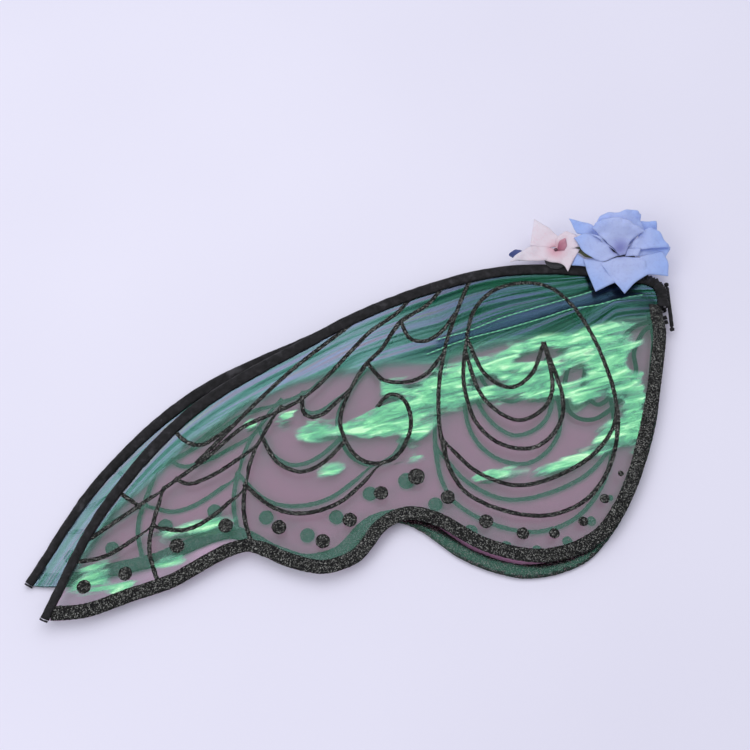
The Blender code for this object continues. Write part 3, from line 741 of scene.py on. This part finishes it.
def petal_material(name, base, tip, crease):
    """Stiffened petal cloth: pressed fibres, a dyed tip and a darker root, and light shining through."""
    s = Shader(name)
    reach = s.value("reach")
    dye = s.noise(s.place(55.0), 3.0, 0.55, 0.4)
    colour = s.mix(s.step(s.maths("ADD", reach, s.times(dye, 0.5)), 0.55, 1.35), base, tip)
    # The third colour lies towards the petal's root
    colour = s.mix(s.step(reach, 0.30, 0.0), colour, crease)
    fibre = s.noise(s.place((900, 2300, 1400), turn=34.4), 3.0, 0.65)
    mottle = s.noise(s.place(420.0), 3.0, 0.6)
    colour = s.mix(s.times(s.step(mottle, 0.45, 0.75), 0.22), colour, crease)
    normal = s.bump(s.weave(1900.0), 0.10, 0.4, s.bump(fibre, 0.22, 0.5))
    cloth = s.principled(
        Base_Color=colour, Roughness=0.82, Sheen_Weight=0.35, Sheen_Roughness=0.45, Normal=normal
    )
    glow = s.node("BsdfTranslucent", {"Color": colour, "Normal": normal}).outputs[0]
    return s.finished(s.blend(0.22, cloth, glow))


def bead_material():
    """A glossy dark bead with a streaky glaze."""
    s = Shader("dark_bead")
    glaze = s.noise(s.place((600, 900, 1500)), 2.0, 0.5, 1.0)
    colour = s.ramp(glaze, (0.35, (0.035, 0.004, 0.02)), (0.7, (0.16, 0.03, 0.07)))
    return s.finished(s.principled(Base_Color=colour, Roughness=0.22, Coat_Weight=0.6))


def floor_material():
    """Matte paper, hardly mottled."""
    s = Shader("pale_paper")
    mottle = s.noise(s.place(3.0), 2.0, 0.5)
    colour = s.ramp(mottle, (0.3, (0.78, 0.765, 0.90)), (0.7, (0.82, 0.805, 0.94)))
    return s.finished(s.principled(Base_Color=colour, Roughness=0.9))


FINISHES = {
    "film": film_material(),
    "glitter": glitter_material(),
    "black_fabric": black_fabric_material(),
    "thread": thread_material(),
    "elastic": elastic_material(),
    "steel": steel_material(),
    "vinyl": vinyl_material(),
    "felt": felt_material(),
    "bead": bead_material(),
}
FINISHES |= {dye + "_fabric": petal_material(dye + "_cloth", *colours) for dye, colours in PETAL_COLOURS.items()}


# --- wings -------------------------------------------------------------------------------------


def read_wing(prefix, side):
    """What the frame says about one wing: its levels, its sleeve's line and its outlines."""
    wing = SimpleNamespace(prefix=prefix, side=side, body=prefix + "wing")
    sleeve, wire, film = prefix + "leading_edge_sleeve", prefix + "frame_wire", prefix + "film"
    wing.inner, wing.outer = node_outs(sleeve, side)
    wing.middle = (wing.inner + wing.outer) / 2
    wing.sleeve_line = smooth_line(strip_middle(flat_outlines(sleeve, side * wing.outer)[0]), EDGE_STEP)
    wire_strip = flat_outlines(wire, side * node_outs(wire, side)[1])[0]
    wire_line = shifted(smooth_line(strip_middle(wire_strip), EDGE_STEP), GATHER_SHIFT)
    sleeve_end = wing.sleeve_line[-1]
    at = min(range(len(wire_line)), key=lambda i: (wire_line[i] - sleeve_end).length)
    wing.gather_line = smooth_line([*wire_line[at::4], wire_line[-1]], GATHER_STEP)
    wing.edge_tree = tree_of(wing.sleeve_line + wire_line[at:])
    top = max(range(len(wing.sleeve_line)), key=lambda i: wing.sleeve_line[i].y)
    wing.lead = tuple(zip(*wing.sleeve_line[:top + 1]))
    film_inner = node_outs(film, side)[0]
    wing.film = film_inner + CAD_FILM_HALF
    wing.film_ring = max(flat_outlines(film, side * film_inner), key=len)
    print_top = side * node_outs(prefix + "glitter_print", side)[1]
    wing.print_rings = flat_outlines(prefix + "glitter_print", print_top)
    wing.spot_rings = flat_outlines(film, print_top)
    return wing


def edge_place(wing, x, y):
    """Length along the leading edge from the tip, and distance from its centre line."""
    _, index, away = wing.edge_tree.find((x, y, 0))
    return EDGE_STEP * index, away


def bump_at(x, y, centre_x, centre_y, reach_x, reach_y, direction=0.0):
    along = Vector((x - centre_x, y - centre_y))
    along.rotate(Matrix.Rotation(-math.radians(direction), 2))
    return math.exp(-((along.x / reach_x) ** 2) - (along.y / reach_y) ** 2)


def patches_at(x, y, patches):
    return sum(patch[5] * bump_at(x, y, *patch[:5]) for patch in patches)


CREASE_TREES = [tree_of(smooth_line(points, EDGE_STEP)) for points in CREASES]


def crease_gap(x, y):
    return min(tree.find((x, y, 0))[2] for tree in CREASE_TREES)


def crease_between(x, y):
    """1 between the two creases, where the film gets a painted dark reflection, as of the dark side of the
    room.
    """
    upper, lower = CREASE_TREES
    near, _, gap = lower.find((x, y, 0))
    spread = upper.find(near)[2]
    return eased((spread + 1.5 - upper.find((x, y, 0))[2] - gap) / 1.5)


def film_out(wing, x, y):
    """How far out the film's middle lies at a plan point, with its swells, folds and creases."""
    along, away = edge_place(wing, x, y)
    free = eased((away - 3) / SEAM_FREE)
    spot = Vector((x, y, 60.0 * wing.side))
    swell = 1.1 * noise.noise(spot / 58)
    folds = 0.5 * rough(along / 120, away / 13, 5.0 * wing.side) * eased((75 - away) / 40)
    crinkle = 0.16 * noise.noise(spot / 11) + 0.07 * noise.noise(spot / 5)
    crease = 0.8 * max(0.0, 1 - crease_gap(x, y) / 1.6)
    pucker = 2.3 * bump_at(x, y, *PUCKER)
    lift = free * (swell + folds + crinkle + crease) + eased((away - 3) / 8) * pucker
    return wing.film + max(lift, -1.6)


def along_table(x, table):
    return float(np.interp(x, [row[0] for row in table], [row[1] for row in table]))


def film_regions(wing, x, y):
    """Shares of a plan point in each region of the film, and its place among the streaks."""
    ragged = 3 * rough(x / 26, 0.3, wing.side)
    pucker = eased((bump_at(x, y, *PUCKER) - 0.35) / 0.15)
    crease = eased(1 - crease_gap(x, y) / 0.8)
    # These values place painted reflections (the sheen patches, the dark streaks under the sleeve, the dark
    # band between the creases), painted shade near the root and painted highlights along the creases.
    below = (float(np.interp(x, *wing.lead)) - y) / along_table(x, STREAK_FAN)
    return {
        "sheen": min(1.1, patches_at(x, y, SHEEN)) - patches_at(x, y, SHEEN_GAPS),
        "edge_zone": max(eased((y - along_table(x, DARK_EDGE) + ragged) / 4), pucker),
        "root_shade": eased((x + 230) / 110),
        "crease": crease,
        "painted_dark_band": 0.8 * crease_between(x, y) * (1 - crease),
        "streak_place": (x * MM, 0.04 * below, 0),
    }


def add_film(wing):
    ring = smooth_ring(wing.film_ring, FILM_SPACING)
    crease_lines = [smooth_line(points, RIDGE_STEP) for points in CREASES]
    ridges = [spot for line in crease_lines for across in (-0.8, 0, 0.8) for spot in shifted(line, across)]
    ridge_tree, edge = tree_of(ridges), tree_of(ring)
    inner = [point for point in grid_inside([ring], FILM_SPACING) if ridge_tree.find((*point, 0))[2] > 1.3]
    inner += [spot for spot in ridges if edge.find((*spot, 0))[2] > 1.5]
    points, triangles = triangulated([ring], inner)
    outs = [film_out(wing, x, y) for x, y in points]
    low, high = (
        [(x, y, wing.side * (out + half)) for (x, y), out in zip(points, outs)]
        for half in (-FILM_HALF, FILM_HALF)
    )
    film_shape = shell(low, high, triangles, wing.side)
    piece = add_piece(wing.prefix + "iridescent_film", film_shape, "film", wing.body, wing.prefix + "film")
    regions = [film_regions(wing, x, y) for x, y in points] * 2
    for key in ("sheen", "edge_zone", "root_shade", "crease", "painted_dark_band"):
        add_values(piece, key, [region[key] for region in regions])
    add_vectors(piece, "streak_place", [region["streak_place"] for region in regions])


def ragged_ring(ring):
    """An outline of the print with the glitter's uneven edge."""
    ring = smooth_ring(ring, EDGE_STEP)
    ragged = []
    for i, point in enumerate(ring):
        along = (ring[(i + 1) % len(ring)] - ring[i - 1]).normalized()
        ragged.append(point + across_of(along) * (0.34 * noise.noise(Vector((*(point / 1.7), 3.0)))))
    return ragged


def domed_print(wing, rings, thickness):
    """Glitter laid on the film inside the outlines, domed from their edges."""
    rings = [ragged_ring(ring) for ring in rings]
    points, triangles = triangulated(rings, grid_inside(rings, PRINT_SPACING, 8.0))
    edge = tree_of([point for ring in rings for point in ring])
    low, high = [], []
    for x, y in points:
        gap = edge.find((x, y, 0))[2]
        grain = 0.08 * noise.noise(Vector((x, y, 9.0)) / 0.9)
        rise = thickness * math.sqrt(min(1.0, gap / PRINT_DOME)) + (grain if gap > 0.2 else 0.0)
        base = film_out(wing, x, y) + FILM_HALF + PRINT_GAP
        low.append((x, y, wing.side * base))
        high.append((x, y, wing.side * (base + PRINT_LEAST + max(rise, 0.0))))
    return shell(low, high, triangles, wing.side)


def add_print(wing):
    lines = domed_print(wing, wing.print_rings, 0.2)
    add_piece(wing.prefix + "glitter_lines", lines, "glitter", wing.body, wing.prefix + "glitter_print")
    spots = domed_print(wing, wing.spot_rings, 0.22)
    add_piece(wing.prefix + "glitter_spots", spots, "glitter", wing.body)


def sleeve_half_width(at):
    """The sleeve is sewn narrower towards the tip."""
    return SLEEVE_HALF * (0.7 + 0.3 * eased(at / 150))


def sleeve_section(wing, at, depth, pleat=0.0):
    """The sleeve's cut-open ring of cloth at one place, open towards the film."""
    half_width, half_height = sleeve_half_width(at), (wing.outer - wing.inner) / 2
    outer_count, inner_count = 22, 12
    section = []
    for i in range(outer_count):
        turn = (math.pi - SLEEVE_MOUTH) * (1 - 2 * i / (outer_count - 1))
        around = Vector((math.cos(turn), math.sin(turn)))
        crumple = depth * rough(at / 5.5, around.x * 1.6, around.y * 1.6 + 7 * wing.side)
        crumple += 0.4 * depth * rough(at / 2.1, around.x * 3, around.y * 3)
        grow = 1 + pleat * (0.75 + 0.25 * around.x)
        across = half_width * squared(around.x) * grow
        out = half_height * squared(around.y) * grow
        section.append((across + crumple * around.x, wing.middle + out + crumple * around.y))
    for i in range(inner_count):
        turn = (math.pi - SLEEVE_MOUTH * 1.2) * (2 * i / (inner_count - 1) - 1)
        across = (half_width - 0.7) * squared(math.cos(turn))
        section.append((across, wing.middle + (half_height - 0.62) * squared(math.sin(turn))))
    return section


def add_sleeve(wing):
    line = wing.sleeve_line[::2]
    sections = [sleeve_section(wing, i * 2 * EDGE_STEP, SLEEVE_CRUMPLE) for i in range(len(line))]
    shape = sweep(line, sections, wing.side)
    node = wing.prefix + "leading_edge_sleeve"
    add_piece(wing.prefix + "sleeve_fabric", shape, "black_fabric", wing.body, node)


def add_gather(wing):
    """The sleeve's end, ruched tightly round the wire down the root."""
    sections = []
    for i in range(len(wing.gather_line)):
        at = i * GATHER_STEP
        pitch = 1.9 + 0.5 * rough(at / 4, 0, 11)
        pleat = 0.13 * math.sin(math.tau * at / pitch) + 0.08 * rough(at / 1.1, 2, 0)
        sections.append(sleeve_section(wing, 200 + at * 3, GATHER_CRUMPLE, pleat - 0.04))
    shape = sweep(wing.gather_line, sections, wing.side)
    add_piece(wing.prefix + "ruched_root", shape, "black_fabric", wing.body, wing.prefix + "root_gather")


def add_seam(wing):
    """A running stitch along the sleeve, next to the film."""
    line = [
        point + normal * (0.75 - sleeve_half_width(EDGE_STEP * i))
        for i, (point, normal) in enumerate(zip(wing.sleeve_line, normals_of(wing.sleeve_line)))
    ]
    level = wing.outer - 0.42
    stitches = []
    for first in range(6, len(line) - 8, 5):
        stretch = zip(line[first:first + 4], (0.30, 0.0, 0.0, 0.30))
        stitches.append(thread_path([(*spot, wing.side * (level - dip)) for spot, dip in stretch], 0.24))
    name = wing.prefix + "running_stitch"
    add_piece(name, joined(stitches), "thread", wing.body, wing.prefix + "sleeve_seam_thread")


def add_bar_tack(wing):
    """Close zigzag stitches that shut the sleeve at the tip."""
    start = wing.sleeve_line[0]
    along = (start - wing.sleeve_line[2]).normalized()
    rows = 6
    threads = []
    for row in range(rows):
        out = wing.inner + 0.45 + (wing.outer - wing.inner - 0.9) * row / (rows - 1)
        slant = 0.35 if row % 2 else -0.35
        ends = []
        for part in (-1, -0.5, 0, 0.5, 1):
            ahead = 1.0 + slant * part + 0.12 * math.cos(part * 9)
            ends.append((*(start + along * ahead + across_of(along) * (2.4 * part)), wing.side * out))
        threads.append(thread_path(ends, 0.38))
    node = wing.prefix + "tip_bar_tack"
    add_piece(wing.prefix + "tip_stitches", joined(threads), "thread", wing.body, node)


# --- spine and elastic -------------------------------------------------------------------------


def add_spine():
    low, high = node_range("spine_binding")
    axis_x = node_middle("spine_core_cord").x
    step = 0.5
    count = round((high.y - low.y) / step)
    line = [Vector((axis_x, low.y + (high.y - low.y) * i / count)) for i in range(count + 1)]
    face = high.x - axis_x
    sections = []
    for i in range(count + 1):
        section = []
        for radius, turns in ((face, range(-10, 11)), (face - 0.38, range(10, -11, -1))):
            for turn in turns:
                angle = math.radians(turn * 13.2)
                crumple = 0.13 * rough(i * step / 1.9, angle * 1.5, radius) - 0.08
                reach = radius + crumple * (radius == face)
                section.append((-reach * math.cos(angle), reach * math.sin(angle)))
        sections.append(section)
    places, faces = sweep(line, sections)
    shape = places, turned_for(RIGHT, faces)
    add_piece("spine_bound_edge", shape, "black_fabric", "right_wing", "spine_binding")
    for end in ("top", "bottom"):
        add_knot("spine_" + end + "_tied_knot", "spine_" + end + "_knot")


def add_knot(name, node):
    """An overhand knot: three thread loops wound over each other."""
    low, high = node_range(node)
    size = (high - low) / 2
    winding = []
    steps = 54
    for i in range(steps + 1):
        turn = math.tau * i / steps * 3
        tilt = 0.8 * math.sin(math.tau * i / steps * 2)
        reach = 0.72 - 0.12 * abs(tilt)
        spot = Vector((math.cos(turn) * reach, tilt * 0.62, math.sin(turn) * reach))
        winding.append((low + high) / 2 + spot * size)
    add_piece(name, thread_path(winding, 0.5, 8), "thread", "right_wing", node)


def add_strap(prefix, side):
    """An elastic shoulder loop, rippled a little out of flat, with its two tacks."""
    node, body = prefix + "shoulder_strap", prefix + "strap"
    inner, outer = node_outs(node, side)
    line = smooth_line(strip_middle(flat_outlines(node, side * outer)[0]), STRAP_STEP)
    half_width, half_height = 1.55, (outer - inner) / 2 - 0.06
    corners = [math.tau * k / 14 for k in range(14)]
    section = [
        (half_width * squared(math.cos(turn), 0.55), half_height * squared(math.sin(turn), 0.7))
        for turn in corners
    ]
    sections = []
    for i in range(len(line)):
        middle = (inner + outer) / 2 + 0.05 * rough(i * STRAP_STEP / 9, side, 4)
        narrow = 1 + 0.07 * rough(i * STRAP_STEP / 6, side, 8)
        sections.append([(across * narrow, middle + out) for across, out in section])
    piece = add_piece(prefix + "elastic_loop", sweep(line, sections, side), "elastic", body, node)
    add_vectors(piece, "sweep_place", sweep_vectors(line, len(section), STRAP_STEP))
    for end in ("upper", "lower"):
        add_tack(prefix + "strap_" + end + "_tack", line, body)


def add_tack(node, line, body):
    """A zigzag of thread across the elastic."""
    centre = node_middle(node)
    place, along, across = nearest_on(line, centre.xy)
    points = []
    for i in range(11):
        spot = place + along * (-1.1 + 0.22 * i) + across * (1.05 if i % 2 else -1.05)
        points.append((*spot, centre.z))
    add_piece(node + "_zigzag", thread_path(points, 0.17), "thread", body, node)


def add_tie(flower, wing):
    """Turns of thread round the sleeve that hold a flower on."""
    node = flower + "_tie_thread"
    place, along, across = nearest_on(wing.sleeve_line, node_middle(node).xy)
    reach, rise = SLEEVE_HALF + 0.35, (wing.outer - wing.inner) / 2 + 0.3
    turns = []
    for turn in range(4):
        points = []
        for step in range(25):
            angle = math.radians(172 - 344 * step / 24)
            wide = max(squared(math.cos(angle)) * reach, 0.3 - SLEEVE_HALF)
            drift = -0.95 + 0.62 * turn + 0.25 * step / 24
            height = wing.middle + squared(math.sin(angle)) * rise
            points.append((*(place + along * drift + across * wide), height))
        turns.append(thread_path(points, 0.27))
    add_piece(flower + "_thread_turns", joined(turns), "thread", wing.body, node)


# --- flowers -----------------------------------------------------------------------------------


def curled_petal(base, heading, length, width, rise, curl, cup, tip, seed):
    """Shape and reach values of a curved cloth petal. It leaves its base at the angle rise and
    turns to the angle curl at its tip; cup lifts its sides."""
    columns, rows = 20, 24
    along = Vector((math.cos(heading), math.sin(heading), 0))
    across = Vector((-along.y, along.x, 0))
    low, reach = [], []
    run, height = 1.0, 0.0
    for row in range(rows + 1):
        u = row / rows
        half = width / 2 * min(1.0, 0.22 + 1.75 * u ** 0.85) * (1 - 0.30 * u ** 5)
        for column in range(columns + 1):
            v = 2 * column / columns - 1
            back = tip * width * abs(v) ** 1.6 * u ** 3
            wave = 1.3 * u * rough(u * 2.2 + seed, v * 1.6, seed * 1.7)
            wave += 0.28 * u * rough(u * 7 + seed, v * 6, seed)
            lift = cup * half * v * v * (0.4 + 0.6 * u)
            side_fold = -0.9 * eased((abs(v) - 0.86) / 0.12) * u
            place = base + along * (run - back * math.cos(curl)) + across * (half * v)
            low.append(place + Vector((0, 0, height - back * math.sin(curl) + lift + wave + side_fold)))
            reach.append(u)
        angle = rise + (curl - rise) * u ** 0.9
        run += length / rows * math.cos(angle)
        height += length / rows * math.sin(angle)
    high = [place + Vector((0, 0, 0.32)) for place in low]
    return shell(low, high, grid_faces(rows, columns)), reach * 2


def sheet_height(controls, x, y):
    """Height between the control points, the nearest of which counts most."""
    total, weight = 0.0, 0.0
    for control_x, control_y, z in controls:
        share = ((x - control_x) ** 2 + (y - control_y) ** 2 + 0.05) ** -1.4
        total += share * z
        weight += share
    return total / weight


def cloth_sheet(outline, centre, seed):
    """Shape and reach values of a thin pressed petal over an outline of (x, y, height)."""
    ring = smooth_ring([(x, y) for x, y, _ in outline], 0.9)
    points, triangles = triangulated([ring], grid_inside([ring], 1.05))
    edge = tree_of(ring)
    low, reach = [], []
    for x, y in points:
        soft = 0.35 * rough(x / 7, y / 7, seed)
        pressed = 1.1 * abs(rough(x / 13, y / 13, seed + 0.5))
        rim = 0.55 * eased(1 - edge.find((x, y, 0))[2] / 1.2)
        low.append(Vector((centre.x + x, centre.y + y, sheet_height(outline, x, y) + soft + pressed - rim)))
        reach.append(min(1.0, math.hypot(x, y) / 34))
    high = [place + Vector((0, 0, CLOTH)) for place in low]
    return shell(low, high, triangles), reach * 2


def add_petal(name, petal, colour, node):
    """A petal on the left wing, from its shape and reach values."""
    shape, reach = petal
    piece = add_piece(name, shape, colour + "_fabric", "left_wing", node)
    add_values(piece, "reach", reach)


def add_rose():
    """Pressed petals, one over another, round a deep heart."""
    heart_low, heart_high = node_range("rose_centre")
    centre = Vector(((heart_low.x + heart_high.x) / 2, (heart_low.y + heart_high.y) / 2, 0))
    for seed, (petal, outline) in enumerate(ROSE_PETALS.items()):
        name = "rose_" + petal
        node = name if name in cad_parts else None
        add_petal(name + "_cloth", cloth_sheet(outline, centre, seed * 3.7), "blue", node)
    heart = rolled_heart(centre + Vector((0, 9, 0)), heart_low.z - 3, heart_low.z + 2)
    add_petal("rose_rolled_heart", heart, "blue", "rose_centre")
    add_pad("rose_pad_felt", "rose_felt_pad")
    leaf_middle = node_middle("rose_leaf")
    heading = math.atan2(leaf_middle.y - centre.y, leaf_middle.x - centre.x)
    base = Vector((centre.x, centre.y, node_range("rose_leaf")[0].z))
    leaf = curled_petal(base, heading, 31, 10, math.radians(2), math.radians(4), 0.1, 0.8, 31)
    add_petal("rose_leaf_cloth", leaf, "green", "rose_leaf")


def rolled_heart(centre, low, high):
    """Shape and reach values of a strip of cloth rolled into a bud."""
    turns, steps, rows = 2.3, 96, 10
    places_low, places_high, reach = [], [], []
    for row in range(rows + 1):
        u = row / rows
        for step in range(steps + 1):
            share = step / steps
            angle = math.tau * turns * share
            radius = (1.1 + 4.6 * share) * (0.62 + 0.38 * u) + 0.35 * math.sin(3 * angle) * u
            z = low + (high - low) * u * (1 - 0.28 * share) + 0.5 * u * math.sin(2 * angle + 1)
            for target, grown in ((places_low, radius), (places_high, radius + 0.34)):
                target.append((centre.x + grown * math.cos(angle), centre.y + grown * math.sin(angle), z))
            reach.append(0.25 + 0.5 * u)
    return shell(places_low, places_high, turned_for(RIGHT, grid_faces(rows, steps))), reach * 2


def add_pad(name, node):
    """A felt disc with an uneven cut edge."""
    low, high = node_range(node)
    centre = ((low + high) / 2).xy
    radius = (high.x - low.x) / 2
    steps, rings = 72, 6
    flat = [centre]
    for ring in range(1, rings + 1):
        for step in range(steps):
            turn = math.tau * step / steps
            uneven = 0.35 * rough(turn * 6, radius, 0) if ring == rings else 0
            flat.append(centre + Vector((math.cos(turn), math.sin(turn))) * (radius * ring / rings + uneven))
    faces = []
    for step in range(steps):
        following = (step + 1) % steps
        faces.append((0, 1 + step, 1 + following))
        for ring in range(rings - 1):
            a, b = 1 + ring * steps + step, 1 + ring * steps + following
            faces.append((a, a + steps, b + steps, b))
    bottom = [(*spot, low.z + 0.08) for spot in flat]
    top = [(*spot, high.z - 0.08 + 0.12 * noise.noise(Vector((*(spot / 1.3), 5)))) for spot in flat]
    add_piece(name, shell(bottom, top, faces), "felt", "left_wing", node)


def add_blossom():
    centre = node_middle("blossom_bead")
    parts, reach_values = [], []
    for seed, outline in enumerate(BLOSSOM_PETALS):
        shape, reach = cloth_sheet(outline, centre, seed * 2.3 + 40)
        parts.append(shape)
        reach_values += reach
    add_petal("blossom_cloth_petals", (joined(parts), reach_values), "pink", "blossom_petals")
    inner = cloth_sheet(BLOSSOM_INNER_PETAL, centre, 60)
    add_petal("blossom_pink_petal", inner, "deep_pink", "blossom_inner_petal")
    low, high = node_range("blue_filler_petal")
    base = Vector((high.x, (low.y + high.y) / 2, low.z))
    filler = curled_petal(base, math.radians(178), 13, 9, math.radians(6), 0.0, 0.2, 0.4, 61)
    add_petal("blue_filler_cloth", filler, "dark_blue", "blue_filler_petal")
    add_pad("blossom_pad_felt", "blossom_felt_pad")


# --- the whole ---------------------------------------------------------------------------------


def repaint(node, slot):
    """Gives a CAD node that stays in view its finish."""
    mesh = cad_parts[node].data
    mesh.materials.clear()
    mesh.materials.append(FINISHES[slot])


def placed(name, data, place):
    """A new object of the scene at a place in metres."""
    thing = bpy.data.objects.new(name, data)
    thing.location = place
    bpy.context.scene.collection.objects.link(thing)
    return thing


def add_floor(level):
    mesh = bpy.data.meshes.new("floor")
    half = FLOOR_REACH * MM
    corners = [(-half, -half, 0), (half, -half, 0), (half, half, 0), (-half, half, 0)]
    mesh.from_pydata(corners, [], [(0, 1, 2, 3)])
    mesh.materials.append(floor_material())
    placed("floor", mesh, (0, 0, level))


def add_lights():
    world = bpy.data.worlds.new("studio")
    world.use_nodes = True
    background = world.node_tree.nodes["Background"]
    background.inputs["Color"].default_value = (0.93, 0.94, 1.0, 1.0)
    background.inputs["Strength"].default_value = 0.55
    bpy.context.scene.world = world
    for name, place, width, height, power in LIGHTS:
        light = bpy.data.lights.new(name, "AREA")
        light.shape = "RECTANGLE"
        light.size, light.size_y = width, height
        light.energy = power
        lamp = placed(name, light, place)
        lamp.rotation_euler = (LIT_POINT - lamp.location).to_track_quat("-Z", "Y").to_euler()


def add_camera(level):
    data = bpy.data.cameras.new("camera")
    data.lens = CAMERA_LENS
    distance = CAMERA_HEIGHT / math.sin(CAMERA_TILT)
    backwards = Vector((0, -math.cos(CAMERA_TILT), math.sin(CAMERA_TILT)))
    camera = placed("camera", data, Vector((*CAMERA_AIM, level)) + distance * backwards)
    camera.rotation_euler = (math.pi / 2 - CAMERA_TILT, 0, 0)
    bpy.context.scene.camera = camera
    bpy.context.scene.view_settings.view_transform = "Standard"


def main():
    wings = [read_wing("left_", LEFT), read_wing("right_", RIGHT)]
    for wing in wings:
        add_film(wing)
        add_print(wing)
        add_sleeve(wing)
        add_gather(wing)
        add_seam(wing)
        add_bar_tack(wing)
        add_strap(wing.prefix, wing.side)
        repaint(wing.prefix + "frame_wire", "steel")
        repaint(wing.prefix + "wire_tip_cap", "vinyl")
    add_spine()
    repaint("spine_core_cord", "thread")
    add_tie("rose", wings[0])
    add_tie("blossom", wings[0])
    add_rose()
    add_blossom()
    repaint("blossom_bead", "bead")
    lowest = node_range("right_leading_edge_sleeve")[0].z
    add_floor((lowest - FLOOR_DROP) * MM)
    add_lights()
    add_camera(lowest * MM)


main()
bpy.context.view_layer.update()
